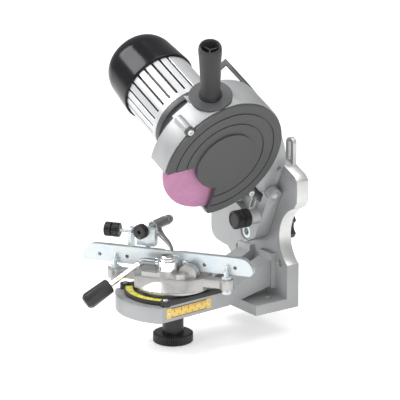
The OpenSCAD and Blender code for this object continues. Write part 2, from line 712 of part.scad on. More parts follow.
module lever_grip() {
    color(BLACK) vise_frame() lever_bend() translate([0, 0, 46]) difference() {
        cylinder(r = 10, h = 35, $fn = 12);
        translate([0, 0, -1]) cylinder(r = 3.2, h = 12);
    }
}
module vise_lock_knob() {
    color(BLACK) at_vise() difference() {
        union() {
            translate([0, 0, -30]) knurled(lock_knob_r, 11.6, 48, 0.9);
            translate([0, 0, -18.5]) cylinder(r = 12.2, h = 18.5 + table_z0 - 0.3);
        }
        translate([0, 0, -24]) cylinder(r = stud_r + fit, h = 50);
    }
}

// ---- Chain stop -------------------------------------------------------------------------------
module pawl_frame() {
    vise_frame() translate([pawl_x, -1, pawl_z]) rotate([0, 0, -pawl_a]) rotate([-90, 0, 0]) children();
}
module stop_carriage() {
    color(BRIGHT) difference() {
        union() {
            vise_frame() {
                translate([-46, 5.3, 78.6]) cube([22, 10, 20]);
                translate([-35, 5.3, 62]) cube([5, 3, 20]);
            }
            pawl_frame() {
                translate([0, 0, 7.2]) cylinder(r = 4.2, h = 3);
                translate([0, 0, 1]) cylinder(r = pawl_rod_r, h = 60);
                translate([0, 0, 59]) cylinder(r = 5, h = 2.4);
            }
        }
        vise_frame() translate([-60, stop_y, stop_z]) rotate([0, 90, 0]) cylinder(r = stop_screw_r + fit, h = 25.5);
    }
}
module stop_frame() { vise_frame() translate([0, stop_y, stop_z]) rotate([0, -90, 0]) children(); }
module stop_screw() { color(ZINC) stop_frame() translate([0, 0, 40]) cylinder(r = stop_screw_r, h = 44); }
module stop_knob() {
    color(BLACK) stop_frame() difference() {
        translate([0, 0, 77.6]) knurled(8.4, 9, 20, 0.8);
        translate([0, 0, 77]) cylinder(r = stop_screw_r, h = 7);
    }
}
module stop_lock_nut() {
    color(BLACK) stop_frame() translate([0, 0, 68.4]) difference() {
        knurled(8.4, 8.8, 20, 0.8);
        translate([0, 0, -1]) cylinder(r = stop_screw_r + fit, h = 12);
    }
}
// The pawl's finger curves down to the tooth at the vise axis
pawl_route = [[-30.6, 28, 94.2], [-22.8, 25, 86.7], [-12.6, 17, 82.3], [-5.5, 9, 78.6], [-3.1, 3.5, 75.9]];
pawl_width = [5.2, 4.5, 3.5, 2.4, 1.7];
module stop_pawl() {
    color("#9C9DA0") difference() {
        union() {
            pawl_frame() translate([0, 0, 24]) cylinder(r = 6, h = 33);
            vise_frame() for (i = [0:3]) hull() {
                translate(pawl_route[i]) sphere(r = pawl_width[i], $fn = 16);
                translate(pawl_route[i + 1]) sphere(r = pawl_width[i + 1], $fn = 16);
            }
        }
        pawl_frame() translate([0, 0, 20]) cylinder(r = pawl_rod_r + fit, h = 50);
    }
}
module pawl_knob() {
    color(BLACK) pawl_frame() difference() {
        translate([0, 0, -5.3]) knurled(8.6, 9.7, 20, 0.8);
        translate([0, 0, 0.8]) cylinder(r = pawl_rod_r + fit, h = 8);
    }
}

base_casting();
scale_frame();
angle_scale_label();
side_scale_label();
label_rivets();
tilt_scale_label();
tilt_bracket();
tilt_bolt();
hinge_pin();
return_spring();
tilt_lock_knob();
depth_screw();
depth_knob();
depth_lock_nut();
wheel_housing();
motor_front_shield();
motor_body();
stator_core();
stator_windings();
motor_rear_shield();
motor_cap();
wheel_cover();
cover_screws();
handle_flange();
handle_grip();
handle_bolt();
switch_box();
switch_rocker();
capacitor();
cable_gland();
motor_shaft();
rotor_core();
motor_bearings();
cooling_fan();
inner_flange();
grinding_wheel();
outer_flange();
arbor_nut();
vise_body();
vise_stud();
fixed_rail();
rail_screws();
rail_height_screws();
cam_pin();
stop_post();
moving_rail();
clamp_cam();
clamp_lever();
lever_grip();
vise_lock_knob();
stop_carriage();
stop_screw();
stop_knob();
stop_lock_nut();
stop_pawl();
pawl_knob();
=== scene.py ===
"""Looks of a bench chain sharpener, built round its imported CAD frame."""

import json
import math

import bmesh
import bpy
from mathutils import Matrix, Vector

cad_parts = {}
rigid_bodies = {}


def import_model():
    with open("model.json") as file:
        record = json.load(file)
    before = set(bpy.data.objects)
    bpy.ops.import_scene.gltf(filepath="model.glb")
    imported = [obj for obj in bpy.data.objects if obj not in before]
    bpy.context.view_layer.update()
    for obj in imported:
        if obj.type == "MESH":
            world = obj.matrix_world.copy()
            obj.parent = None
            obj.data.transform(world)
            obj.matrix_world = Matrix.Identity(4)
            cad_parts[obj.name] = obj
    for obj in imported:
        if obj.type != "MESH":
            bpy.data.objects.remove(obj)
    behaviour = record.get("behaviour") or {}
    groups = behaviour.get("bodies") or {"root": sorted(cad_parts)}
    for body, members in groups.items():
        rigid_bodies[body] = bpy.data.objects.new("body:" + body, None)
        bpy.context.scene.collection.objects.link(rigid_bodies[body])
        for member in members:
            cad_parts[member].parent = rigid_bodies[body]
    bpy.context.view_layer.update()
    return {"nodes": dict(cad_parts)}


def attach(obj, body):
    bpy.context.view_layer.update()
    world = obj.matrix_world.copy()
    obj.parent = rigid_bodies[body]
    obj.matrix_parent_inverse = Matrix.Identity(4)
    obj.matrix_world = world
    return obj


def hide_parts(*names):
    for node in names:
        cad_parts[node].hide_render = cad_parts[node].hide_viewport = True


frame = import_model()

bl_info = {
    "name": "Chain sharpener",
    "version": (1, 0, 0),
    "blender": (4, 5, 0),
    "location": "3D View > Sidebar > Sharpener",
    "description": "Builds the looks of a bench chain sharpener round its CAD frame",
    "category": "Object",
}

MM = 0.001


# ---- Places -------------------------------------------------------------------------------------
def move(x, y, z):
    return Matrix.Translation((x, y, z))


def turn(degrees, axis):
    return Matrix.Rotation(math.radians(degrees), 4, axis)


VISE_AXIS = move(0, -107.5, 0)
VISE = VISE_AXIS @ turn(35, "Z")
TILT_HEIGHT = 83.0            # of the axis on which the head tilts, above the foot
HEAD_TILT = 25                # degrees, as photographed
SPINDLE_HEIGHT = 128.4        # of the wheel's axis above the tilt axis, along the tilted head
HEAD = move(0, -107.5, TILT_HEIGHT) @ turn(HEAD_TILT, "Y")
SPINDLE = HEAD @ move(0, 25, SPINDLE_HEIGHT) @ turn(90, "Y")
HINGE = HEAD @ move(0, 112, 64) @ turn(90, "Y")
HANDLE_ANGLE = 107.3
EARS = (140, -46)


def round_spindle(angle):
    """Local x points away from the spindle, at this angle from the rear over the top."""
    return SPINDLE @ turn(angle + 90, "Z")


HANDLE = round_spindle(HANDLE_ANGLE) @ move(0, 0, -16.4) @ turn(90, "Y")
SWITCH = round_spindle(45)
DEPTH = HEAD @ move(9, 0, 31) @ turn(-90, "X")
STOP_SCREW = VISE @ move(0, 11, 92.6) @ turn(-90, "Y")
PAWL = VISE @ move(-38, -1, 97.3) @ turn(-12, "Z") @ turn(-90, "X")


# ---- Shader maths -------------------------------------------------------------------------------
class Value:
    """A shader socket that can be used in sums."""

    def __init__(self, finish, socket):
        self.finish = finish
        self.socket = socket

    def _math(self, operation, *others, clamp=False):
        node = self.finish.node("ShaderNodeMath", {"operation": operation, "use_clamp": clamp},
                                [self, *others])
        return node[0]

    def __add__(self, other):
        return self._math("ADD", other)

    def __sub__(self, other):
        return self._math("SUBTRACT", other)

    def __mul__(self, other):
        return self._math("MULTIPLY", other)

    def __truediv__(self, other):
        return self._math("DIVIDE", other)

    def __rsub__(self, other):
        return self.finish.node("ShaderNodeMath", {"operation": "SUBTRACT"}, [other, self])[0]

    def __gt__(self, other):
        return self._math("GREATER_THAN", other)

    def __lt__(self, other):
        return self._math("LESS_THAN", other)

    __radd__ = __add__
    __rmul__ = __mul__

    def wave(self, period):
        """Distance from the nearest multiple of the period, in the value's own units."""
        return self._math("PINGPONG", period / 2)

    def limited(self):
        return self._math("ADD", 0.0, clamp=True)


class Outputs:
    def __init__(self, finish, node):
        self.finish = finish
        self.made = node

    def __getitem__(self, key):
        return Value(self.finish, self.made.outputs[key])


class Finish:
    """One material under construction, in the object's own coordinates."""

    def __init__(self, name, colour, roughness=0.5, metallic=0.0, coat=0.0, specular=0.5):
        self.material = bpy.data.materials.new(name)
        self.material.use_nodes = True
        self.tree = self.material.node_tree
        self.shader = next(n for n in self.tree.nodes if n.type == "BSDF_PRINCIPLED")
        self.set("Base Color", (*colour, 1.0))
        self.set("Roughness", roughness)
        self.set("Metallic", metallic)
        self.set("Coat Weight", coat)
        self.set("Specular IOR Level", specular)
        self.material.diffuse_color = (*colour, 1.0)
        self.colour = colour

    def node(self, kind, settings=None, inputs=()):
        """Adds a node. Settings come first, then values or links of its sockets, by place or by name."""
        made = self.tree.nodes.new(kind)
        for key, value in (settings or {}).items():
            if key == "stops":
                ramp = made.color_ramp
                while len(ramp.elements) < len(value):
                    ramp.elements.new(0.5)
                for stop, (position, shade) in zip(ramp.elements, value):
                    stop.position = position
                    stop.color = (*shade, 1.0) if isinstance(shade, tuple) else (shade, shade, shade, 1.0)
            else:
                setattr(made, key, value)
        pairs = inputs.items() if isinstance(inputs, dict) else enumerate(inputs)
        for key, value in pairs:
            if value is None:
                continue
            if isinstance(value, Value):
                self.tree.links.new(value.socket, made.inputs[key])
            else:
                made.inputs[key].default_value = value
        return Outputs(self, made)

    def set(self, socket, value):
        if isinstance(value, Value):
            self.tree.links.new(value.socket, self.shader.inputs[socket])
        else:
            self.shader.inputs[socket].default_value = value

    def place(self, matrix=None, scale=(1, 1, 1)):
        """Object coordinates in millimetres, in the frame that the matrix gives."""
        co = self.node("ShaderNodeTexCoord")["Object"]
        if matrix is not None:
            inverse = matrix.inverted()
            euler = inverse.to_euler("XYZ")
            shift = inverse.to_translation()
            co = self.node("ShaderNodeMapping", {"vector_type": "POINT"}, {
                "Vector": co, "Location": shift * MM, "Rotation": euler})["Vector"]
        return self.node("ShaderNodeMapping", {"vector_type": "POINT"}, {
            "Vector": co, "Scale": [s / MM for s in scale]})["Vector"]

    def parts(self, vector):
        split = self.node("ShaderNodeSeparateXYZ", None, [vector])
        return split["X"], split["Y"], split["Z"]

    def noise(self, vector, scale, detail=3.0, roughness=0.55, distortion=0.0):
        return self.node("ShaderNodeTexNoise", {"noise_dimensions": "3D"}, {
            "Vector": vector, "Scale": scale, "Detail": detail, "Roughness": roughness,
            "Distortion": distortion})["Fac"]

    def ramp(self, value, stops):
        return self.node("ShaderNodeValToRGB", {"stops": stops}, [value])["Color"]

    def level(self, value, low, high, to_low, to_high):
        return self.node("ShaderNodeMapRange", {"clamp": True}, [value, low, high, to_low, to_high])["Result"]

    def blend(self, mask, a, b):
        a = (*a, 1.0) if isinstance(a, tuple) and len(a) == 3 else a
        b = (*b, 1.0) if isinstance(b, tuple) and len(b) == 3 else b
        made = self.node("ShaderNodeMix", {"data_type": "RGBA"})
        node = made.made
        for socket, value in ((node.inputs[0], mask), (node.inputs[6], a), (node.inputs[7], b)):
            if isinstance(value, Value):
                self.tree.links.new(value.socket, socket)
            else:
                socket.default_value = value
        return Value(self, node.outputs[2])

    def bump(self, height, distance, strength=1.0):
        """A bump whose height runs from 0 to 1 over the distance, in millimetres."""
        made = self.node("ShaderNodeBump", None, {
            "Height": height, "Distance": distance * MM, "Strength": strength})
        self.set("Normal", made["Normal"])


def tint(colour, factor):
    return tuple(min(1.0, max(0.0, c * factor)) for c in colour)


FINISHES = {}


def finish(name):
    """Makes a finish the first time it is asked for."""
    if name not in FINISHES:
        FINISHES[name] = FINISH_MAKERS[name]().material
    return FINISHES[name]


def settings():
    return bpy.context.scene.sharpener_colours


def grained(name, colour, roughness, metallic, grain, depth, mottle=0.12, coat=0.0, specular=0.5):
    """A cast or moulded surface: a fine grain, broad mottling, and gloss that varies with both."""
    f = Finish(name, colour, roughness, metallic, coat, specular)
    where = f.place()
    broad = f.noise(where, 0.045, 4.0)
    fine = f.noise(where, grain, 3.0, 0.6)
    mixed = f.level(broad * 0.65 + fine * 0.35, 0.3, 0.7, 0.0, 1.0)
    f.set("Base Color", f.blend(mixed, tint(colour, 1 - mottle), tint(colour, 1 + mottle)))
    f.set("Roughness", f.level(mixed, 0.0, 1.0, roughness - 0.06, roughness + 0.08))
    f.bump(fine, depth)
    return f


def streaked(name, colour, roughness, metallic, matrix, stretch, depth=0.02, contrast=0.18):
    """A machined or drawn surface: streaks along the axis that the stretch makes long."""
    f = Finish(name, colour, roughness, metallic)
    where = f.place(matrix, stretch)
    lines = f.noise(where, 1.0, 5.0, 0.65)
    broad = f.noise(f.place(), 0.06, 2.0)
    mixed = f.level(lines * 0.75 + broad * 0.25, 0.3, 0.7, 0.0, 1.0)
    f.set("Base Color", f.blend(mixed, tint(colour, 1 - contrast), tint(colour, 1 + contrast * 0.5)))
    f.set("Roughness", f.level(mixed, 0.0, 1.0, roughness + 0.1, roughness - 0.05))
    f.bump(lines, depth)
    return f


def make_cast_paint():
    return grained("cast_paint", tuple(settings().casting), 0.46, 0.45, 1.4, 0.05, 0.07)


def make_machined():
    return streaked("machined_edge", (0.70, 0.70, 0.69), 0.34, 0.75, None, (0.05, 0.05, 1.6), 0.012, 0.12)


def make_bright_cast():
    return grained("bright_cast", (0.46, 0.455, 0.445), 0.36, 0.75, 1.1, 0.04, 0.10)


def make_zinc():
    f = Finish("zinc_plate", (0.66, 0.72, 0.76), 0.34, 0.65)
    where = f.place()
    cloud = f.noise(where, 0.06, 3.0)
    scratch = f.noise(f.place(None, (0.06, 0.06, 3.0)), 1.0, 4.0)
    hue = f.ramp(cloud, [(0.32, (0.56, 0.64, 0.68)), (0.5, (0.64, 0.69, 0.71)), (0.68, (0.64, 0.67, 0.63))])
    f.set("Base Color", f.blend(f.level(scratch, 0.35, 0.75, 0.0, 0.2), hue, (0.74, 0.77, 0.78)))
    f.set("Roughness", f.level(cloud * 0.6 + scratch * 0.4, 0.3, 0.7, 0.30, 0.42))
    f.bump(scratch, 0.002)
    return f


def make_chrome():
    f = Finish("polished_rod", (0.80, 0.81, 0.82), 0.14, 1.0)
    smear = f.noise(f.place(), 0.12, 4.0)
    f.set("Roughness", f.level(smear, 0.3, 0.7, 0.08, 0.22))
    f.set("Base Color", f.blend(smear, (0.74, 0.75, 0.76), (0.88, 0.88, 0.88)))
    return f


def make_black():
    return grained("black_moulding", (0.022, 0.022, 0.023), 0.42, 0.0, 1.8, 0.03, 0.18)


def make_knob_black():
    return grained("knob_black", (0.018, 0.018, 0.018), 0.36, 0.0, 2.2, 0.02, 0.2)


def make_cap_black():
    f = Finish("cap_gloss", (0.010, 0.010, 0.012), 0.16, 0.0, 0.0, 0.22)
    where = f.place()
    orange = f.noise(where, 0.35, 2.0)
    haze = f.noise(where, 0.03, 3.0)
    f.set("Roughness", f.level(haze, 0.3, 0.7, 0.12, 0.22))
    f.set("Base Color", f.blend(haze, (0.007, 0.007, 0.009), (0.012, 0.012, 0.015)))
    f.bump(orange, 0.015)
    return f


def make_cover_grey():
    return grained("cover_grey", tuple(settings().cover), 0.5, 0.1, 1.6, 0.04, 0.10)


def make_shield_grey():
    # Dark grey of the motor's front flange ring. The shield's neck gets the same colour, and there it is
    # painted shade.
    return grained("dark_shield_and_painted_neck_shade", (0.085, 0.088, 0.092), 0.48, 0.2, 1.6, 0.04, 0.10)


def make_fins():
    """Bright extruded fins, with painted shade in the grooves between them: near-black colour below the fin
    tops.
    """
    colour = (0.60, 0.61, 0.62)
    f = Finish("fin_metal", colour, 0.38, 0.4)
    lines = f.noise(f.place(SPINDLE, (1.8, 1.8, 0.03)), 1.0, 5.0, 0.65)
    x, y, _ = f.parts(f.place(SPINDLE))
    # Fin-top mask: it is 0 below the fin tops, where the grooves and the inner part of the fin ends get
    # painted shade.
    outside = f.level(x * x + y * y, 40.4 ** 2, 41.9 ** 2, 0.0, 1.0)
    bright = f.blend(lines, tint(colour, 0.94), tint(colour, 1.04))
    # The near-black here is painted shade in the grooves, standing in for the shadow between the fins.
    f.set("Base Color", f.blend(outside, (0.035, 0.035, 0.037), bright))
    f.set("Roughness", f.level(lines, 0.3, 0.7, 0.44, 0.34))
    f.bump(lines, 0.015)
    return f


def make_wheel_stone():
    colour = tuple(settings().wheel)
    f = Finish("wheel_stone", colour, 0.92, 0.0, 0.0, 0.2)
    where = f.place()
    grit = f.node("ShaderNodeTexVoronoi", {"feature": "F1"}, {"Vector": where, "Scale": 1.5})["Color"]
    speck = f.node("ShaderNodeSeparateColor", None, [grit])["Red"]
    cloud = f.noise(where, 0.05, 3.0)
    base = f.blend(f.level(cloud, 0.3, 0.7, 0.0, 1.0), tint(colour, 0.93), tint(colour, 1.06))
    dark = f.blend((speck > 0.9) * 0.25, base, tint(colour, 0.62))
    f.set("Base Color", f.blend((speck < 0.07) * 0.2, dark, (0.86, 0.68, 0.80)))
    f.bump(f.noise(where, 1.6, 4.0, 0.7), 0.22)
    return f


def make_grip():
    f = Finish("grip_rubber", tuple(settings().grip), 0.55, 0.0, 0.0, 0.35)
    where = f.place()
    stipple = f.noise(where, 2.6, 2.0, 0.6)
    cloud = f.noise(where, 0.05, 3.0)
    f.set("Base Color", f.blend(cloud, tint(f.colour, 0.85), tint(f.colour, 1.15)))
    f.set("Roughness", f.level(stipple, 0.3, 0.7, 0.48, 0.64))
    f.bump(stipple, 0.06)
    return f


def make_flange_grey():
    return streaked("flange_grey", (0.085, 0.086, 0.09), 0.42, 0.1, HANDLE, (1.2, 0.25, 0.25), 0.02, 0.12)


def make_pawl_grey():
    return grained("pawl_casting", (0.30, 0.31, 0.32), 0.34, 0.85, 1.2, 0.05, 0.12)


def make_switch_grey():
    return grained("switch_grey", (0.62, 0.63, 0.63), 0.32, 0.0, 2.0, 0.015, 0.04)


def make_copper():
    f = Finish("copper_wire", (0.62, 0.28, 0.12), 0.3, 0.8, 0.4)
    strands = f.node("ShaderNodeTexNoise", None, {"Vector": f.place(SPINDLE, (1.2, 1.2, 0.2)),
                                                  "Scale": 1.0})["Fac"]
    f.set("Base Color", f.blend(strands, (0.36, 0.15, 0.06), (0.78, 0.38, 0.17)))
    f.bump(strands, 0.3)
    return f


def make_laminations():
    f = Finish("laminations", (0.24, 0.24, 0.25), 0.5, 0.7)
    _, _, z = f.parts(f.place(SPINDLE))
    sheet = (z.wave(1.0) * 2.0).limited()
    f.set("Base Color", f.blend(sheet, (0.12, 0.12, 0.12), (0.34, 0.34, 0.35)))
    f.bump(sheet, 0.1)
    return f


def make_spring():
    return streaked("spring_wire", (0.22, 0.22, 0.23), 0.35, 0.9, None, (0.8, 0.8, 0.8), 0.01, 0.15)


def make_angle_scale():
    f = Finish("angle_scale", (0.80, 0.72, 0.05), 0.3, 0.0, 0.3)
    x, y, _ = f.parts(f.place(VISE_AXIS))
    angle = f.node("ShaderNodeMath", {"operation": "ARCTAN2"}, [y, x])[0] * (180 / math.pi) + 90.0
    radius = f.node("ShaderNodeVectorMath", {"operation": "LENGTH"}, [f.node(
        "ShaderNodeCombineXYZ", None, [x, y, 0.0])["Vector"]])["Value"]
    fine = (angle.wave(5.0) < 0.32) * (radius > 51.8)
    long = (angle.wave(15.0) < 0.45) * (radius > 49.8)
    ink = (fine + long).limited() * (radius < 53.4)
    cloud = f.noise(f.place(), 0.08, 3.0)
    f.set("Base Color", f.blend(ink, f.blend(cloud, (0.74, 0.66, 0.03), (0.86, 0.79, 0.08)),
                                (0.02, 0.02, 0.02)))
    return f


SIDE_TURN = math.degrees(math.atan((45.3 - 30) / 170.4))
ARM_SIDE = move(45.3, -155.5, 0) @ turn(SIDE_TURN, "Z")


def make_side_scale():
    f = Finish("side_scale", (0.86, 0.58, 0.12), 0.3, 0.0, 0.3)
    _, y, z = f.parts(f.place(ARM_SIDE))
    fine = (y.wave(2.0) < 0.26) * (z > 24.2)
    long = (y.wave(10.0) < 0.42) * (z > 21.8)
    frame_line = ((z < 16.9) + (z > 26.7)).limited()
    ink = (fine + long + frame_line).limited() * (y > 15.0) * (y < 67.0)
    cloud = f.noise(f.place(), 0.08, 3.0)
    f.set("Base Color", f.blend(ink, f.blend(cloud, (0.80, 0.52, 0.09), (0.90, 0.64, 0.16)),
                                (0.10, 0.05, 0.02)))
    return f


def make_tilt_scale():
    f = Finish("tilt_scale", (0.80, 0.72, 0.05), 0.3, 0.0, 0.3)
    x, _, z = f.parts(f.place(move(0, 0, TILT_HEIGHT)))
    angle = f.node("ShaderNodeMath", {"operation": "ARCTAN2"}, [x, z])[0] * (180 / math.pi)
    radius = f.node("ShaderNodeVectorMath", {"operation": "LENGTH"}, [f.node(
        "ShaderNodeCombineXYZ", None, [x, 0.0, z])["Vector"]])["Value"]
    ink = ((angle.wave(5.0) < 0.25) * (radius > 90.5)).limited()
    f.set("Base Color", f.blend(ink, (0.80, 0.72, 0.05), (0.02, 0.02, 0.02)))
    return f


def make_ink():
    return grained("print_ink", (0.02, 0.02, 0.02), 0.5, 0.0, 2.0, 0.005, 0.1)


FINISH_MAKERS = {
    "cast": make_cast_paint, "machined": make_machined, "bright": make_bright_cast, "zinc": make_zinc,
    "chrome": make_chrome, "black": make_black, "knob": make_knob_black, "cap": make_cap_black,
    "cover": make_cover_grey, "shield": make_shield_grey, "fins": make_fins, "stone": make_wheel_stone,
    "grip": make_grip, "flange": make_flange_grey, "pawl": make_pawl_grey, "switch": make_switch_grey,
    "copper": make_copper, "laminations": make_laminations, "spring": make_spring,
    "angle_scale": make_angle_scale, "side_scale": make_side_scale, "tilt_scale": make_tilt_scale,
    "ink": make_ink,
}


# ---- Mesh helpers -------------------------------------------------------------------------------
def add_piece(name, mesh, body, finishes, replaces=(), sharp=35):
    """Puts a finished mesh, in metres, into the scene and rides it on its body."""
    mesh.name = name
    obj = bpy.data.objects.new(name, mesh)
    bpy.context.scene.collection.objects.link(obj)
    mesh.materials.clear()
    for f in finishes:
        mesh.materials.append(finish(f))
    if sharp is not None:
        mesh.shade_smooth()
        mesh.set_sharp_from_angle(angle=math.radians(sharp))
    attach(obj, body)
    if replaces:
        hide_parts(*replaces)
    return obj


def to_mesh(bm, matrix=None, recalc=True):
    """Turns a shape in millimetres into a mesh in metres, at its place."""
    if matrix is not None:
        bm.transform(matrix)
    bm.transform(Matrix.Scale(MM, 4))
    bmesh.ops.remove_doubles(bm, verts=bm.verts, dist=1e-6)
    if recalc:
        bmesh.ops.recalc_face_normals(bm, faces=bm.faces)
    mesh = bpy.data.meshes.new("shape")
    bm.to_mesh(mesh)
    bm.free()
    return mesh


def evaluated(obj):
    """The mesh of an object with its modifiers applied. The object itself goes."""
    graph = bpy.context.evaluated_depsgraph_get()
    mesh = bpy.data.meshes.new_from_object(obj.evaluated_get(graph), depsgraph=graph)
    old = obj.data
    bpy.data.objects.remove(obj)
    if old.users == 0:
        bpy.data.meshes.remove(old)
    return mesh


def eased(mesh, width, segments=2, angle=30, clamp=True):
    """Rounds a mesh's sharp edges by a width in millimetres."""
    obj = bpy.data.objects.new("easing", mesh)
    bpy.context.scene.collection.objects.link(obj)
    bevel = obj.modifiers.new("ease", "BEVEL")
    bevel.width = width * MM
    bevel.segments = segments
    bevel.limit_method = "ANGLE"
    bevel.angle_limit = math.radians(angle)
    bevel.use_clamp_overlap = clamp
    bevel.harden_normals = False
    bevel.miter_outer = "MITER_ARC"
    return evaluated(obj)


def merge_shapes(*meshes):
    bm = bmesh.new()
    for m in meshes:
        bm.from_mesh(m)
        bpy.data.meshes.remove(m)
    mesh = bpy.data.meshes.new("shape")
    bm.to_mesh(mesh)
    bm.free()
    return mesh


def cad_copy(node):
    """A CAD node's surface with its triangles merged and its flat faces whole."""
    bm = bmesh.new()
    bm.from_mesh(frame["nodes"][node].data)
    bmesh.ops.remove_doubles(bm, verts=bm.verts, dist=2e-6)
    bmesh.ops.dissolve_limit(bm, angle_limit=math.radians(0.6), verts=bm.verts, edges=bm.edges)
    mesh = bpy.data.meshes.new("copy")
    bm.to_mesh(mesh)
    bm.free()
    return mesh


def even_shading(mesh, sharp):
    """Shades the flat faces flat, and the curved ones and the rounded edges smooth."""
    mesh.shade_smooth()
    mesh.set_sharp_from_angle(angle=math.radians(sharp))
    bm = bmesh.new()
    bm.from_mesh(mesh)
    low, high = math.radians(0.5), math.radians(18)
    for face in bm.faces:
        width = 2 * face.calc_area() / max(face.calc_perimeter(), 1e-9)
        curved = any(low < e.calc_face_angle(0.0) < high for e in face.edges)
        face.smooth = curved or width < 0.8 * MM
    bm.to_mesh(mesh)
    bm.free()
    return mesh


def cast_from(node, name, body, finishes, width=0.8, segments=2, angle=28, sharp=40, clamp=True):
    """A casting with the CAD node's shape and rounded edges."""
    mesh = even_shading(eased(cad_copy(node), width, segments, angle, clamp), sharp)
    return add_piece(name, mesh, body, finishes, [node], None)


def finish_nodes(nodes, name):
    """Gives a finish to CAD nodes that are shown as they are."""
    for node in nodes:
        obj = frame["nodes"][node]
        obj.data.materials.clear()
        obj.data.materials.append(finish(name))


def lathe(profile, steps=64, loop=False, start=0.0):
    """Turns (radius, height) points round Z. A loop is a closed section clear of the axis."""
    bm = bmesh.new()
    rings = []
    angles = [start + 2 * math.pi * i / steps for i in range(steps)]
    for r, z in profile:
        if r < 1e-6:
            rings.append([bm.verts.new((0, 0, z))])
        else:
            rings.append([bm.verts.new((r * math.cos(a), r * math.sin(a), z)) for a in angles])
    pairs = list(zip(rings, rings[1:]))
    if loop:
        pairs.append((rings[-1], rings[0]))
    for a, b in pairs:
        for i in range(steps):
            j = (i + 1) % steps
            corners = [a[i % len(a)], a[j % len(a)], b[j % len(b)], b[i % len(b)]]
            unique = list(dict.fromkeys(corners))
            if len(unique) > 2:
                bm.faces.new(unique)
    return bm


def prism(outline, z0, z1):
    """An outline in the XY plane, closed and given a height."""
    bm = bmesh.new()
    low = [bm.verts.new((x, y, z0)) for x, y in outline]
    high = [bm.verts.new((x, y, z1)) for x, y in outline]
    bm.faces.new(list(reversed(low)))
    bm.faces.new(high)
    n = len(outline)
    for i in range(n):
        bm.faces.new([low[i], low[(i + 1) % n], high[(i + 1) % n], high[i]])
    return bm


def curve_points(points, per_span=8):
    """A smooth run through the points."""
    out = []
    p = [Vector(q) for q in points]
    p = [p[0] * 2 - p[1], *p, p[-1] * 2 - p[-2]]
    for i in range(1, len(p) - 2):
        a, b, c, d = p[i - 1], p[i], p[i + 1], p[i + 2]
        for k in range(per_span):
            t = k / per_span
            out.append(0.5 * (2 * b + (c - a) * t + (2 * a - 5 * b + 4 * c - d) * t * t
                              + (3 * b - a - 3 * c + d) * t ** 3))
    out.append(p[-2])
    return out


def swept(points, radii, sides=20, section=None, across=None):
    """A bar along the points, whose radius can change on the way."""
    bm = bmesh.new()
    n = len(points)
    if not isinstance(radii, (list, tuple)):
        radii = [radii] * n
    tangent = (points[1] - points[0]).normalized()
    side = across or tangent.orthogonal().normalized()
    rings = []
    for i, p in enumerate(points):
        t = (points[min(i + 1, n - 1)] - points[max(i - 1, 0)]).normalized()
        side = (side - t * side.dot(t)).normalized()
        up = t.cross(side)
        ring = []
        for k in range(sides):
            a = 2 * math.pi * k / sides
            sx, sy = section or (1.0, 1.0)
            across_bar = side * math.cos(a) * radii[i] * sx
            ring.append(bm.verts.new(p + across_bar + up * math.sin(a) * radii[i] * sy))
        rings.append(ring)
    for a, b in zip(rings, rings[1:]):
        for k in range(sides):
            bm.faces.new([a[k], a[(k + 1) % sides], b[(k + 1) % sides], b[k]])
    bm.faces.new(list(reversed(rings[0])))
    bm.faces.new(rings[-1])
    return bm


def thread(radius, length, pitch, depth=0.45, steps=20, z0=0.0):
    """A screw's threaded length: a helical ridge on a closed rod."""
    bm = bmesh.new()
    rows = max(2, int(length / pitch * 4))
    rings = []
    for j in range(rows + 1):
        z = z0 + length * j / rows
        ring = []
        for i in range(steps):
            a = 2 * math.pi * i / steps
            phase = (z / pitch - i / steps) % 1.0
            r = radius - depth * abs(phase - 0.5) * 2
            if j in (0, rows):
                r = radius - depth
            ring.append(bm.verts.new((r * math.cos(a), r * math.sin(a), z)))
        rings.append(ring)
    for a, b in zip(rings, rings[1:]):
        for k in range(steps):
            bm.faces.new([a[k], a[(k + 1) % steps], b[(k + 1) % steps], b[k]])
    bm.faces.new(list(reversed(rings[0])))
    bm.faces.new(rings[-1])
    return bm


# ---- Geometry Nodes -----------------------------------------------------------------------------
class Repeat:
    """A geometry tree that copies a shape round Z, with named inputs for its sizes."""

    def __init__(self, name):
        self.tree = bpy.data.node_groups.new(name, "GeometryNodeTree")
        self.tree.interface.new_socket("Geometry", in_out="OUTPUT", socket_type="NodeSocketGeometry")
        self.tree.interface.new_socket("Geometry", in_out="INPUT", socket_type="NodeSocketGeometry")
        self.inputs = {}
        self.ids = {}
        self.enter = self.tree.nodes.new("NodeGroupInput")

    def input(self, name, kind, default):
        socket = self.tree.interface.new_socket(name, in_out="INPUT", socket_type=kind)
        if default is not None:
            socket.default_value = default
        self.ids[name] = socket.identifier
        return self.enter.outputs[name]

    def node(self, kind, settings=None, inputs=()):
        made = self.tree.nodes.new(kind)
        for key, value in (settings or {}).items():
            setattr(made, key, value)
        pairs = inputs.items() if isinstance(inputs, dict) else enumerate(inputs)
        for key, value in pairs:
            if value is None:
                continue
            if isinstance(value, bpy.types.NodeSocket):
                self.tree.links.new(value, made.inputs[key])
            else:
                made.inputs[key].default_value = value
        return made

    def close(self, geometry):
        leave = self.node("NodeGroupOutput", None, [geometry])
        leave.is_active_output = True
        return self


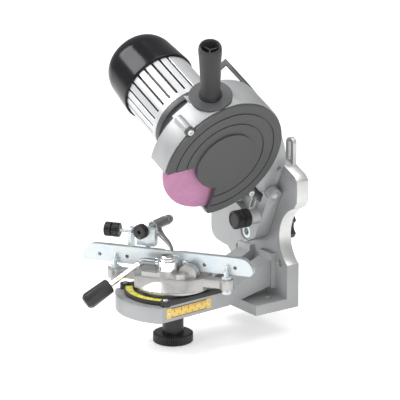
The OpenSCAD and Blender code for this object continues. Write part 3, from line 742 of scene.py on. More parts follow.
def ring_tree():
    """Copies of the object's own shape round Z, from a first angle, evenly or on an arc."""
    r = Repeat("copies_in_a_ring")
    count = r.input("Count", "NodeSocketInt", 12)
    first = r.input("First angle", "NodeSocketFloat", 0.0)
    step = r.input("Step angle", "NodeSocketFloat", 30.0)
    coat = r.input("Finish", "NodeSocketMaterial", None)
    points = r.node("GeometryNodePoints", None, {"Count": count})
    index = r.node("GeometryNodeInputIndex")
    product = r.node("ShaderNodeMath", {"operation": "MULTIPLY"}, [index.outputs[0], step])
    angle = r.node("ShaderNodeMath", {"operation": "ADD"}, [product.outputs[0], first])
    radians = r.node("ShaderNodeMath", {"operation": "RADIANS"}, [angle.outputs[0]])
    spin = r.node("ShaderNodeCombineXYZ", None, {"Z": radians.outputs[0]})
    copies = r.node("GeometryNodeInstanceOnPoints", None, {
        "Points": points.outputs[0], "Instance": r.enter.outputs[0], "Rotation": spin.outputs[0]})
    real = r.node("GeometryNodeRealizeInstances", None, [copies.outputs[0]])
    done = r.node("GeometryNodeSetMaterial", None, {"Geometry": real.outputs[0], "Material": coat})
    return r.close(done.outputs[0])


def line_tree():
    """Copies of the object's own shape along a straight line."""
    r = Repeat("copies_in_a_line")
    count = r.input("Count", "NodeSocketInt", 2)
    step = r.input("Step", "NodeSocketVector", (10.0, 0.0, 0.0))
    coat = r.input("Finish", "NodeSocketMaterial", None)
    line = r.node("GeometryNodeMeshLine", {"mode": "OFFSET"}, {"Count": count, "Offset": step})
    copies = r.node("GeometryNodeInstanceOnPoints", None, {
        "Points": line.outputs[0], "Instance": r.enter.outputs[0]})
    real = r.node("GeometryNodeRealizeInstances", None, [copies.outputs[0]])
    done = r.node("GeometryNodeSetMaterial", None, {"Geometry": real.outputs[0], "Material": coat})
    return r.close(done.outputs[0])


TREES = {}


def repeated(kind, bm, coat, values):
    """Runs a shape in millimetres through one of the trees and returns the plain mesh, in millimetres."""
    if kind not in TREES:
        TREES[kind] = {"ring": ring_tree, "line": line_tree}[kind]()
    tree = TREES[kind]
    mesh = bpy.data.meshes.new("unit")
    bm.to_mesh(mesh)
    bm.free()
    obj = bpy.data.objects.new("unit", mesh)
    bpy.context.scene.collection.objects.link(obj)
    modifier = obj.modifiers.new("copies", "NODES")
    modifier.node_group = tree.tree
    for name, value in {**values, "Finish": finish(coat)}.items():
        modifier[tree.ids[name]] = value
    return evaluated(obj)


def placed(mesh, matrix):
    mesh.transform(Matrix.Scale(MM, 4) @ matrix)
    return mesh


def fluted_section(radius, flutes, depth, steps=4):
    """One flute of a knurled knob, as points on its rim."""
    out = []
    for k in range(steps):
        a = 2 * math.pi * k / steps / flutes
        lift = 0.5 - 0.5 * math.cos(2 * math.pi * k / steps)
        out.append((radius - depth + depth * min(1.0, lift * 1.6), a))
    return out


def knurled_knob(radius, height, flutes, depth, chamfer=0.8, dish=0.6, bore=0.0, hub=None):
    """A round knob with fine flutes, chamfered rims and a dished face. Its flutes are one wedge, repeated."""
    bm = bmesh.new()
    rim = fluted_section(radius, flutes, depth, 6)
    rim.append((rim[0][0], 2 * math.pi / flutes))
    levels = [(0.0, 1 - chamfer / radius), (chamfer, 1.0), (height - chamfer, 1.0),
              (height, 1 - chamfer / radius)]
    face = radius * 0.78
    columns = []
    for r, a in rim:
        base = radius - depth
        column = []
        inner = max(bore, 0.0)
        column.append((inner, 0.0) if inner else (0.0, 0.0))
        column.append((base * 0.9, 0.0))
        column.append((base - chamfer, 0.0))
        column.append((r, levels[1][0]))
        column.append((r, levels[2][0]))
        column.append((base - chamfer, height))
        column.append((face, height))
        column.append((face - 0.8, height - dish))
        column.append((inner, height - dish) if inner else (0.0, height - dish))
        columns.append([(p * math.cos(a), p * math.sin(a), z) for p, z in column])
    cache = {}

    def vert(co):
        key = tuple(round(c, 5) for c in co)
        if key not in cache:
            cache[key] = bm.verts.new(co)
        return cache[key]

    for left, right in zip(columns, columns[1:]):
        for k in range(len(left) - 1):
            corners = list(dict.fromkeys([vert(left[k]), vert(right[k]), vert(right[k + 1]),
                                          vert(left[k + 1])]))
            if len(corners) > 2:
                bm.faces.new(corners)
        if bore:
            corners = [vert(left[-1]), vert(right[-1]), vert(right[0]), vert(left[0])]
            bm.faces.new(corners)
    return repeated("ring", bm, "knob", {"Count": flutes, "First angle": 0.0, "Step angle": 360.0 / flutes})


def clean(mesh):
    """Merges a mesh's doubles and turns its faces outwards, in millimetres."""
    bm = bmesh.new()
    bm.from_mesh(mesh)
    bmesh.ops.remove_doubles(bm, verts=bm.verts, dist=0.004)
    bmesh.ops.recalc_face_normals(bm, faces=bm.faces)
    bm.to_mesh(mesh)
    bm.free()
    return mesh


def hex_socket_head(radius, height, socket, depth, steps=48):
    """A screw head with a hexagonal socket, standing on Z = 0."""
    bm = bmesh.new()
    rings = []
    for r, z in ((0.0, 0.0), (radius, 0.0), (radius, height - 0.5), (radius - 0.5, height)):
        if r == 0.0:
            rings.append([bm.verts.new((0, 0, z))])
        else:
            rings.append([bm.verts.new((r * math.cos(2 * math.pi * i / steps),
                                        r * math.sin(2 * math.pi * i / steps), z)) for i in range(steps)])

    def hexagon(z):
        ring = []
        for i in range(steps):
            a = 2 * math.pi * i / steps
            local = (a % (math.pi / 3)) - math.pi / 6
            r = socket / math.cos(local)
            ring.append(bm.verts.new((r * math.cos(a), r * math.sin(a), z)))
        return ring

    rings += [hexagon(height), hexagon(height - depth), [bm.verts.new((0, 0, height - depth - 0.3))]]
    for a, b in zip(rings, rings[1:]):
        for i in range(steps):
            j = (i + 1) % steps
            corners = list(dict.fromkeys([a[i % len(a)], a[j % len(a)], b[j % len(b)], b[i % len(b)]]))
            if len(corners) > 2:
                bm.faces.new(corners)
    return bm


def nut_shape(across, height, bore, chamfer=0.8):
    """A hexagon nut with chamfered corners."""
    steps = 48
    corner = across / math.sqrt(3)
    bm = bmesh.new()

    def ring(limit, z):
        made = []
        for i in range(steps):
            a = 2 * math.pi * i / steps
            local = (a % (math.pi / 3)) - math.pi / 6
            r = min(across / 2 / math.cos(local), limit)
            made.append(bm.verts.new((r * math.cos(a), r * math.sin(a), z)))
        return made

    inner = [[bm.verts.new((bore * math.cos(2 * math.pi * i / steps),
                            bore * math.sin(2 * math.pi * i / steps), z))
              for i in range(steps)] for z in (0.0, height)]
    rings = [inner[0], ring(across / 2, 0.0), ring(corner, chamfer * 0.6),
             ring(corner, height - chamfer * 0.6),
             ring(across / 2, height), inner[1]]
    for a, b in [*zip(rings, rings[1:]), (rings[-1], rings[0])]:
        for i in range(steps):
            j = (i + 1) % steps
            bm.faces.new([a[i], a[j], b[j], b[i]])
    return bm


# ---- Sizes and colours that a user would change ----------------------------------------------------
class SharpenerColours(bpy.types.PropertyGroup):
    """Colours of the main finishes."""

    casting: bpy.props.FloatVectorProperty(
        name="Castings", description="Silver-grey paint of the castings", subtype="COLOR", size=3,
        min=0.0, max=1.0, default=(0.40, 0.405, 0.41))
    cover: bpy.props.FloatVectorProperty(
        name="Wheel cover", description="Dark grey of the wheel cover", subtype="COLOR", size=3,
        min=0.0, max=1.0, default=(0.070, 0.071, 0.072))
    wheel: bpy.props.FloatVectorProperty(
        name="Grinding wheel", description="Pink of the bonded abrasive", subtype="COLOR", size=3,
        min=0.0, max=1.0, default=(0.56, 0.27, 0.43))
    grip: bpy.props.FloatVectorProperty(
        name="Handle", description="Charcoal of the handle", subtype="COLOR", size=3,
        min=0.0, max=1.0, default=(0.042, 0.042, 0.043))


class SharpenerSizes(bpy.types.PropertyGroup):
    """Sizes of what Blender adds to the CAD frame, in millimetres."""

    edge: bpy.props.FloatProperty(
        name="Casting edge", description="Rounding of the castings' edges, in millimetres",
        default=1.1, min=0.2, max=2.0)
    fins: bpy.props.IntProperty(
        name="Motor fins", description="Number of fins round the motor, counted as if the flat rib were fins",
        default=26, min=16, max=40)
    groove: bpy.props.FloatProperty(
        name="Fin groove", description="Width of the grooves between the fins, in millimetres",
        default=2.4, min=1.0, max=4.0)
    knob_flutes: bpy.props.IntProperty(
        name="Knob flutes", description="Number of flutes round the vise lock knob",
        default=56, min=24, max=90)
    lens: bpy.props.FloatProperty(
        name="Camera lens", description="Focal length of the photograph's camera", default=236.0,
        min=50.0, max=400.0, unit="CAMERA")


def sizes():
    return bpy.context.scene.sharpener_sizes


# ---- Base ---------------------------------------------------------------------------------------
def machined_faces(obj, test):
    """Gives the second finish to the faces that the test picks, by centre and normal in millimetres."""
    for face in obj.data.polygons:
        if test(Vector(face.center) / MM, Vector(face.normal)):
            face.material_index = 1


class SHARPENER_OT_base(bpy.types.Operator):
    """Build the base casting with its plate, arm and round table"""

    bl_idname = "sharpener.base"
    bl_label = "Base casting"

    def execute(self, context):
        obj = cast_from("base_casting", "base_cast", "base", ["cast", "machined"], sizes().edge)

        def plate_edge(c, n):
            return 13.9 < c.y < 30.4 and abs(n.y) < 0.35 and n.z > -0.9 and (c.z > 13 or abs(n.x) > 0.5)

        machined_faces(obj, plate_edge)
        return {"FINISHED"}


class SHARPENER_OT_scales(bpy.types.Operator):
    """Build the black scale frame with its yellow scales, their screws and rivets"""

    bl_idname = "sharpener.scales"
    bl_label = "Scales"

    def execute(self, context):
        cast_from("scale_frame", "scale_ring", "base", ["black"], 0.5)
        cast_from("angle_scale_label", "angle_scale_plate", "base", ["angle_scale"], 0.15)
        cast_from("side_scale_label", "side_scale_plate", "base", ["side_scale"], 0.15)
        cast_from("tilt_scale_label", "tilt_scale_plate", "base", ["tilt_scale"], 0.15)
        heads = []
        for x in (-40.5, 40.5):
            heads.append(placed(repeated("line", hex_socket_head(3.0, 1.6, 1.5, 1.0), "zinc",
                                         {"Count": 1, "Step": (0, 0, 0)}), VISE_AXIS @ move(x, -38, 36.1)))
        dome = lathe([(0, 0), (1.9, 0), (1.8, 0.35), (1.3, 0.75), (0.6, 0.95), (0, 1.0)], 20)
        rivets = repeated("line", dome, "zinc", {"Count": 2, "Step": (-58.0, 0.0, 0.0)})
        heads.append(placed(rivets, ARM_SIDE @ move(0.55, 70, 21.8) @ turn(90, "Z") @ turn(90, "X")))
        mesh = merge_shapes(*heads)
        add_piece("scale_screws", mesh, "base", ["zinc"], ["label_rivets"])
        self.numbers()
        return {"FINISHED"}

    def numbers(self):
        """Figures of the two scales, as thin print."""
        shapes = []
        for value, angle in ((30, -30), (15, -15), (0, 0), (15, 15), (30, 30)):
            shapes.append(figure(str(value), 3.6, VISE_AXIS @ turn(angle, "Z") @ move(0, -48.2, 34.92)))
        for k in range(6):
            shapes.append(figure(str(k * 10), 2.6, ARM_SIDE @ move(0.62, 16 + 10 * k, 18.3) @ turn(90,
                "Z") @ turn(90, "X")))
        add_piece("scale_figures", merge_shapes(*shapes), "base", ["ink"], sharp=None)


def figure(text, height, place):
    """A printed figure, centred on its place."""
    curve = bpy.data.curves.new("figure", "FONT")
    curve.body = text
    curve.size = height
    curve.align_x = "CENTER"
    curve.align_y = "CENTER"
    curve.extrude = 0.02
    curve.resolution_u = 3
    obj = bpy.data.objects.new("figure", curve)
    bpy.context.scene.collection.objects.link(obj)
    graph = bpy.context.evaluated_depsgraph_get()
    mesh = bpy.data.meshes.new_from_object(obj.evaluated_get(graph), depsgraph=graph)
    bpy.data.objects.remove(obj)
    bpy.data.curves.remove(curve)
    return placed(mesh, place)


# ---- Tilting carrier ----------------------------------------------------------------------------
class SHARPENER_OT_carrier(bpy.types.Operator):
    """Build the tilt bracket with its hinge pin, spring, depth screw and knobs"""

    bl_idname = "sharpener.carrier"
    bl_label = "Tilting carrier"

    def execute(self, context):
        cast_from("tilt_bracket", "tilt_bracket_cast", "tilt_carrier", ["cast"], sizes().edge)
        cast_from("tilt_lock_knob", "tilt_lock_star", "tilt_lock", ["knob"], 1.0, segments=3)
        bolt = clean(merge_shapes(
            placed_mm(nut_shape(16, 6.4, 4.4, 1.2), move(0, 0, -6.4)),
            placed_mm(thread(5, 46, 1.5, 0.5, 24), Matrix())))
        add_piece("tilt_bolt_threaded", placed(bolt, HEAD @ move(0, 110, 0) @ turn(-90, "X")), "tilt_carrier",
                  ["zinc"], ["tilt_bolt"])
        pin = lathe([(0, -41.5), (7, -41.5), (7, -39.5), (5, -39.3), (5, 16.8), (4.3, 17.5), (2.2, 17.5),
                     (1.6, 16.7),
                     (0, 16.5)], 40)
        add_piece("hinge_pin_turned", to_mesh(pin, HINGE), "tilt_carrier", ["zinc"], ["hinge_pin"])
        coil = [Vector((6.9, -6, -16.4)), Vector((6.9, -3, -16.4))]
        for i in range(0, 5 * 32 + 1):
            a = 2 * math.pi * i / 32
            coil.append(Vector((6.9 * math.cos(a), 6.9 * math.sin(a), -16.4 + 2.3 * i / 32)))
        coil += [Vector((6.9, 3, -4.9)), Vector((6.9, 6, -4.9))]
        add_piece("return_spring_wire", to_mesh(swept(coil, 0.8, 10), HINGE), "tilt_carrier", ["spring"],
                  ["return_spring"])
        add_piece("depth_screw_threaded", to_mesh(thread(4, 36, 1.25, 0.45, 24, 72), DEPTH), "depth_stop",
                  ["zinc"], ["depth_screw"])
        knob = clean(knurled_knob(10.8, 9.7, 30, 0.9, 0.9, 0.8))
        mirror_z(knob, 9.7)
        add_piece("depth_knob_knurled", placed(knob, DEPTH @ move(0, 0, 69.7)), "depth_knob", ["knob"],
                  ["depth_knob"])
        nut = clean(knurled_knob(10.8, 9.8, 30, 0.9, 0.9, 0.8, 4.05))
        add_piece("depth_lock_knurled", placed(nut, DEPTH @ move(0, 0, 79.8)), "depth_lock", ["knob"],
                  ["depth_lock_nut"])
        return {"FINISHED"}


def placed_mm(bm, matrix):
    bm.transform(matrix)
    mesh = bpy.data.meshes.new("part")
    bm.to_mesh(mesh)
    bm.free()
    return mesh


def mirror_z(mesh, height):
    """Turns a shape over, end for end, without mirroring it."""
    mesh.transform(move(0, 0, height) @ turn(180, "X"))
    return mesh


# ---- Grinding head ------------------------------------------------------------------------------
class SHARPENER_OT_housing(bpy.types.Operator):
    """Build the wheel housing, its arm and the dark wheel cover"""

    bl_idname = "sharpener.housing"
    bl_label = "Wheel housing and cover"

    def execute(self, context):
        drum = cad_copy("wheel_housing")
        self.narrow_pad(drum)
        drum = even_shading(eased(drum, sizes().edge), 40)
        add_piece("housing_cast", drum, "head", ["cast"], ["wheel_housing"], sharp=None)
        cast_from("wheel_cover", "cover_cast", "head", ["cover"], 0.7)
        screws = []
        for angle in EARS:
            place = round_spindle(angle) @ move(79.6, 0, 0)
            head = clean(placed_mm(hex_socket_head(3.6, 2.6, 1.7, 1.5), Matrix()))
            screws.append(placed(head, place @ move(0, 0, 11.0)))
            screws.append(placed(placed_mm(thread(1.95, 19, 0.7, 0.25, 16), Matrix()),
                                 place @ move(0, 0, -8)))
        add_piece("cover_socket_screws", merge_shapes(*screws), "head", ["zinc"], ["cover_screws"])
        return {"FINISHED"}


    def narrow_pad(self, mesh):
        """Draws the rear corners of the handle's pad in under the round flange."""
        back = HANDLE.inverted()
        for v in mesh.vertices:
            p = back @ (v.co / MM)
            wall = abs(p.y) > 21.7 or p.x > 25.3
            if p.z > 30 and 8 < p.x < 25.9 and abs(p.y) < 22.3 and wall:
                p.xy = p.xy * min(1.0, 23.0 / p.xy.length)
                v.co = (HANDLE @ p) * MM


class SHARPENER_OT_motor(bpy.types.Operator):
    """Build the motor: front shield, finned body and its inside, black end cap"""

    bl_idname = "sharpener.motor"
    bl_label = "Motor"

    def execute(self, context):
        # The dark grey on the shield's neck is painted shade. The ring keeps it as its own colour.
        cast_from("motor_front_shield", "front_shield_cast", "head", ["shield"], 0.9)
        self.fins()
        self.cap()
        cast_from("motor_rear_shield", "rear_shield_cast", "head", ["cast"], 0.8)
        cast_from("stator_core", "stator_stack", "head", ["laminations"], 0.3)
        self.windings()
        finish_nodes(["motor_bearings"], "chrome")
        finish_nodes(["capacitor"], "switch")
        return {"FINISHED"}

    def fins(self):
        """The motor body: one fin and its groove, repeated round a tube, with one flat wide rib on top."""
        count = sizes().fins
        groove = sizes().groove
        z0, z1 = -128.0, -71.5
        pitch = 360.0 / count
        inner, root, outer = 36.5, 38.9, 42.5
        half = pitch / 2
        gap = math.degrees(groove / 2 / outer)

        def point(radius, angle):
            a = math.radians(angle)
            return radius * math.cos(a), radius * math.sin(a)

        def wedge(side, steps):
            """One fin's section, from the middle of one groove to the middle of the next."""
            edge = side - gap
            right = [point(root, -side), point(root, -edge - gap * 0.2), point(root + 0.5, -edge),
                     point(outer - 0.5, -edge), point(outer, -edge + 0.6)]
            left = [point(outer, edge - 0.6), point(outer - 0.5, edge), point(root + 0.5, edge),
                    point(root, edge + gap * 0.2), point(root, side)]
            top = [point(outer, -edge + 0.6 + (2 * edge - 1.2) * k / steps) for k in range(1, steps)]
            bottom = [point(inner, side - 2 * side * k / steps) for k in range(steps + 1)]
            return [*right, *top, *left, *bottom]

        def fin(side, steps):
            shape = prism(wedge(side, steps), z0, z1)
            joined = [f for f in shape.faces if all(
                abs(abs(math.degrees(math.atan2(v.co.y, v.co.x))) - side) < 1e-3 for v in f.verts)]
            bmesh.ops.delete(shape, geom=joined, context="FACES_ONLY")
            return shape

        top = 161.7
        ring = repeated("ring", fin(half, 5), "fins", {
            "Count": count - 3, "First angle": top + 2 * pitch, "Step angle": pitch})
        rib = fin(1.5 * pitch, 14)
        rib.transform(turn(top, "Z"))
        plain = lathe([(36.5, -72.0), (42.6, -72.0), (43.0, -71.5), (43.0, -65.5), (42.6, -65.0),
                       (36.5, -65.0)],
                      96, loop=True)
        body = merge_shapes(ring, placed_mm(rib, Matrix()), placed_mm(plain, Matrix()))
        clean(body)
        add_piece("motor_fins", placed(body, SPINDLE), "head", ["fins"], ["motor_body"], sharp=28)

    def cap(self):
        """The end cap: a deep gloss moulding with a rolled rim."""
        z, length = -128.0, 60.0
        outside = [(0.0, z - length)]
        for i in range(0, 19):
            a = math.radians(5 * i)
            outside.append((24 + 18.4 * math.sin(a) ** 0.92, z - length + 27 * (1 - math.cos(a))))
        outside += [(44.0, z - 16), (44.8, z - 6), (45.0, z - 2.6), (45.0, z - 1.2), (44.6, z - 0.3),
                    (43.8, z)]
        inside = [(42.6, z), (42.2, z - 10), (40.0, z - 30), (36.5, z - 46), (30.0, z - 55), (20.0, z - 57.4),
                  (0.0, z - 57.6)]
        shell = lathe([*outside, *inside], 128)
        mesh = to_mesh(shell, SPINDLE)
        add_piece("motor_end_cap", mesh, "head", ["cap"], ["motor_cap"], sharp=50)

    def windings(self):
        """End windings: wire bundles that dip between the stator's teeth, repeated round both ends."""
        meshes = []
        for z0, z1 in ((-130.0, -120.0), (-75.0, -65.0)):
            path = [Vector((29 * math.cos(math.radians(a)), 29 * math.sin(math.radians(a)), (z0 + z1) / 2
                            + 0.9 * math.sin(math.radians(a * 12)))) for a in range(-15, 46, 4)]
            bundle = swept(path, 4.0, 12)
            ring = repeated("ring", bundle, "copper", {"Count": 6, "First angle": 0.0, "Step angle": 60.0})
            meshes.append(placed(ring, SPINDLE))
        add_piece("stator_end_windings", merge_shapes(*meshes), "head", ["copper"], ["stator_windings"])


class SHARPENER_OT_handle(bpy.types.Operator):
    """Build the handle with its flange, and the switch box"""

    bl_idname = "sharpener.handle"
    bl_label = "Handle and switch"

    def execute(self, context):
        z = 75.4
        flange = lathe([(3.2, z), (23.5, z), (24.2, z + 0.6), (24.2, z + 2.4), (23.6, z + 3.0),
                        (12.9, z + 3.0),
                        (12.7, z + 3.4), (12.7, z + 5.2), (12.1, z + 6.0), (3.2, z + 6.0)], 96, loop=True)
        obj = add_piece("handle_flange_turned", to_mesh(flange, HANDLE), "head", ["flange", "knob"],
                        ["handle_flange"])
        machined_faces(obj, lambda c, n: (HANDLE.inverted() @ c).z > z + 3.01)
        self.grip(z + 6)
        bolt = clean(merge_shapes(placed_mm(thread(3, 42, 1.0, 0.35, 20, 52), Matrix()),
                                  placed_mm(hex_socket_head(4.6, 4.0, 2.5, 2.4), move(0, 0, 93.0))))
        add_piece("handle_bolt_threaded", placed(bolt, HANDLE), "head", ["zinc"], ["handle_bolt"])
        cast_from("switch_box", "switch_box_moulded", "head", ["black"], 1.0, segments=3)
        self.rocker()
        gland = clean(merge_shapes(
            placed_mm(nut_shape(16, 6, 3.4, 1.0), move(0, 0, -6)),
            placed_mm(lathe([(3.4, -12), (5.4, -12), (6.5, -10.8), (6.5, -6.4), (6.1, -6), (3.4, -6)], 48,
                            loop=True),
                      Matrix()),
            placed_mm(lathe([(3.4, 0), (5.0, 0), (5.0, 4), (3.4, 4)], 48, loop=True), Matrix())))
        add_piece("cable_gland_moulded", placed(gland, SWITCH @ move(58, -2, -86)), "head", ["knob"],
                  ["cable_gland"])
        return {"FINISHED"}

    def grip(self, z):
        """A hollow tapered grip with a rolled lip and webs inside, and a soft collar at its foot."""
        wall = [(3.1, z), (11.4, z), (11.6, z + 0.8), (11.1, z + 2.4), (10.9, z + 6), (11.2, z + 20),
                (12.2, z + 52),
                (12.8, z + 60), (12.9, z + 64), (12.5, z + 67.8), (11.7, z + 69.6), (10.8, z + 70), (10.0,
                    z + 69.2),
                (9.6, z + 66.5), (9.5, z + 36), (8.8, z + 34.2), (3.1, z + 34)]
        body = placed_mm(lathe(wall, 72, loop=True), Matrix())
        web = bmesh.new()
        bmesh.ops.create_cube(web, size=1.0, matrix=move(5.0, 0, z + 49.0) @ Matrix.Diagonal((9.6, 1.6, 31,
            1)))
        webs = repeated("ring", web, "grip", {"Count": 3, "First angle": 20.0, "Step angle": 120.0})
        add_piece("handle_grip_moulded", placed(merge_shapes(body, webs), HANDLE), "head", ["grip"],
                  ["handle_grip"],
                  sharp=50)

    def rocker(self):
        """The rocker's two curved faces, one pressed in, with a ridge on each."""
        outline = [(-15.3, 9.2), (15.3, 7.8)]
        for k in range(0, 9):
            t = k / 8
            outline.append((15.3 - 15.3 * t, 12.8 - 0.9 * math.sin(math.pi * t * 0.5) ** 1.5))
        for k in range(1, 9):
            t = k / 8
            outline.append((-15.3 * t, 11.9 + 2.7 * t ** 1.5))
        rocker = eased(to_mesh(prism([(x, y) for x, y in outline], 0, 21.6),
                               SWITCH @ move(50.7, 0, -62) @ turn(90, "Y")), 0.5, 3)
        obj = add_piece("switch_rocker_moulded", rocker, "rocker", ["switch"], ["switch_rocker"])
        return obj


class SHARPENER_OT_spindle(bpy.types.Operator):
    """Build the pink grinding wheel, its flanges and nut, the shaft, rotor and fan"""

    bl_idname = "sharpener.spindle"
    bl_label = "Wheel and spindle"

    def execute(self, context):
        r, h = 72.5, 2.25
        wheel = lathe([(11.1, -h), (40, -h), (71.4, -h), (72.2, -h + 0.3), (r, -h + 1.0), (r, h - 1.0),
                       (72.2, h - 0.3),
                       (71.4, h), (40, h), (11.1, h)], 160, loop=True)
        add_piece("grinding_wheel_stone", to_mesh(wheel, SPINDLE), "spindle", ["stone"],
                  ["grinding_wheel"], sharp=60)
        cast_from("inner_flange", "inner_flange_turned", "spindle", ["zinc"], 0.5)
        cast_from("outer_flange", "outer_flange_turned", "spindle", ["zinc"], 0.4)
        nut = nut_shape(19, 5.5, 5.0, 1.4)
        add_piece("arbor_nut_chamfered", to_mesh(nut, SPINDLE @ move(0, 0, 4.5)), "spindle", ["zinc"],
                  ["arbor_nut"])
        cast_from("rotor_core", "rotor_stack", "spindle", ["laminations"], 0.4)
        cast_from("motor_shaft", "shaft_turned", "spindle", ["chrome"], 0.4)
        cast_from("cooling_fan", "fan_moulded", "spindle", ["black"], 0.4)
        return {"FINISHED"}


# ---- Vise ---------------------------------------------------------------------------------------
class SHARPENER_OT_vise(bpy.types.Operator):
    """Build the vise body, its stud, lock knob, rails and screws"""

    bl_idname = "sharpener.vise"
    bl_label = "Vise"

    def execute(self, context):
        cast_from("vise_body", "vise_cast", "vise", ["bright"], 1.0)
        cast_from("fixed_rail", "fixed_rail_plate", "vise", ["zinc"], 0.5)
        cast_from("moving_rail", "moving_rail_plate", "jaw", ["zinc"], 0.5)
        cast_from("stop_post", "stop_post_plate", "vise", ["zinc"], 0.5)
        stud = to_mesh(thread(6, 66, 1.75, 0.6, 28, -22), VISE_AXIS)
        add_piece("vise_stud_threaded", stud, "vise", ["zinc"], ["vise_stud"])
        pin = lathe([(0, 49), (3.98, 49), (3.98, 75.2), (6.9, 75.2), (7.5, 75.8), (7.5, 76.8), (6.6, 77.7),
                     (0, 77.9)], 48)
        add_piece("cam_pin_turned", to_mesh(pin, VISE @ move(0, -18, 0)), "vise", ["chrome"], ["cam_pin"])
        screws = []
        for side in (-1, 1):
            at = VISE @ move(side * 17, -5, 66) @ turn(-90, "X")
            screws.append(placed(placed_mm(thread(1.95, 26, 0.7, 0.25, 16), Matrix()), at))
            head = clean(placed_mm(hex_socket_head(3.4, 2.0, 1.7, 1.2), Matrix()))
            screws.append(placed(mirror_z(head, 0.0), at @ move(0, 0, 0.1)))
        add_piece("rail_guide_screws", merge_shapes(*screws), "vise", ["zinc"], ["rail_screws"])
        self.height_screws()
        self.lock_knob()
        return {"FINISHED"}

    def height_screws(self):
        """The two screws with their nuts and hooks that set the rails' height."""
        shapes = []
        for side in (-1, 1):
            at = VISE @ move(side * 67.5, -9, 0)
            shapes.append(placed(placed_mm(thread(2.95, 28, 1.0, 0.4, 20, 36), Matrix()), at))
            for z, h in ((53.0, 4.0), (37.0, 4.8)):
                shapes.append(placed(placed_mm(nut_shape(10, h, 2.6, 0.8), move(0, 0, z)), at))
            hook = curve_points([(0, 0, 62), (0, 0.2, 65.4), (0, 1.6, 67.6), (0, 3.4, 67.9),
                                 (0, 4.4, 66.6)], 5)
            shapes.append(placed(placed_mm(swept(hook, [1.9, *[1.6] * (len(hook) - 1)], 12), Matrix()), at))
        add_piece("rail_height_screws_threaded", merge_shapes(*shapes), "vise", ["zinc"],
                  ["rail_height_screws"])

    def lock_knob(self):
        """The big knurled knob under the table, with its long hub."""
        head = clean(knurled_knob(23.0, 11.6, sizes().knob_flutes, 0.9, 1.2, 1.2, 6.05))
        hub = lathe([(6.05, -19.2), (12.2, -19.2), (12.2, 11.2), (11.7, 11.7), (6.05, 11.7)], 64, loop=True)
        mesh = merge_shapes(placed(mirror_z(head, -18.4), Matrix()),
                            placed(placed_mm(hub, Matrix()), Matrix()))
        mesh.transform(move(0, -107.5 * MM, 0))
        add_piece("vise_lock_knob_knurled", mesh, "vise_lock", ["knob"], ["vise_lock_knob"])


class SHARPENER_OT_lever(bpy.types.Operator):
    """Build the clamp cam with its bent lever and black grip"""

    bl_idname = "sharpener.lever"
    bl_label = "Clamp lever"

    def execute(self, context):
        cast_from("clamp_cam", "clamp_cam_cast", "lever", ["chrome"], 0.8, segments=3)
        bend = turn(222, "Z") @ turn(121, "Y")
        along = (bend.to_3x3() @ Vector((0, 0, 1)))
        corner = Vector((-30, -18, 68))
        rod = curve_points([(-5.5, -18, 68), (-14, -18, 68), (-24, -18, 68),
                            tuple(corner + along * 1.2 + Vector((1.6, 0, 0))),
                            tuple(corner + along * 9), tuple(corner + along * 25),
                            tuple(corner + along * 56)], 8)
        neck = curve_points([(-13.2, -18, 68), (-19, -18, 68), (-25, -18, 68),
                             tuple(corner + along * 0.6 + Vector((1.6, 0, 0))),
                             tuple(corner + along * 5)], 6)
        thick = [3.6, *[4.1] * (len(neck) - 3), 3.7, 3.2]
        shapes = [to_mesh(swept(rod, 3.1, 24), VISE), to_mesh(swept(neck, thick, 24), VISE)]
        obj = add_piece("clamp_rod_bent", merge_shapes(*shapes), "lever", ["chrome", "pawl"], ["clamp_lever"])
        dark = (len(rod) - 1) * 24 + 2
        for face in obj.data.polygons:
            face.material_index = int(face.index >= dark)
        grip_at = VISE @ move(*corner) @ bend @ move(0, 0, 46)
        profile = [(3.2, 0.0), (7.2, 0.0), (8.6, 0.8), (9.0, 2.0), (9.9, 29.5), (9.7, 31.0), (7.4, 34.4),
                   (6.4, 35.0),
                   (0.0, 35.0)]
        bm = lathe(profile, 8, start=math.radians(22.5))
        ring = [v for v in bm.verts if abs(v.co.z) < 1e-6 and abs(v.co.xy.length - 3.2) < 1e-3]
        floor = bm.verts.new((0, 0, 0.0))
        ring.sort(key=lambda v: math.atan2(v.co.y, v.co.x))
        for a, b in zip(ring, ring[1:] + ring[:1]):
            bm.faces.new([a, floor, b])
        mesh = eased(to_mesh(bm, grip_at), 0.8, 3, 20)
        add_piece("lever_grip_moulded", mesh, "lever", ["knob"], ["lever_grip"])
        return {"FINISHED"}


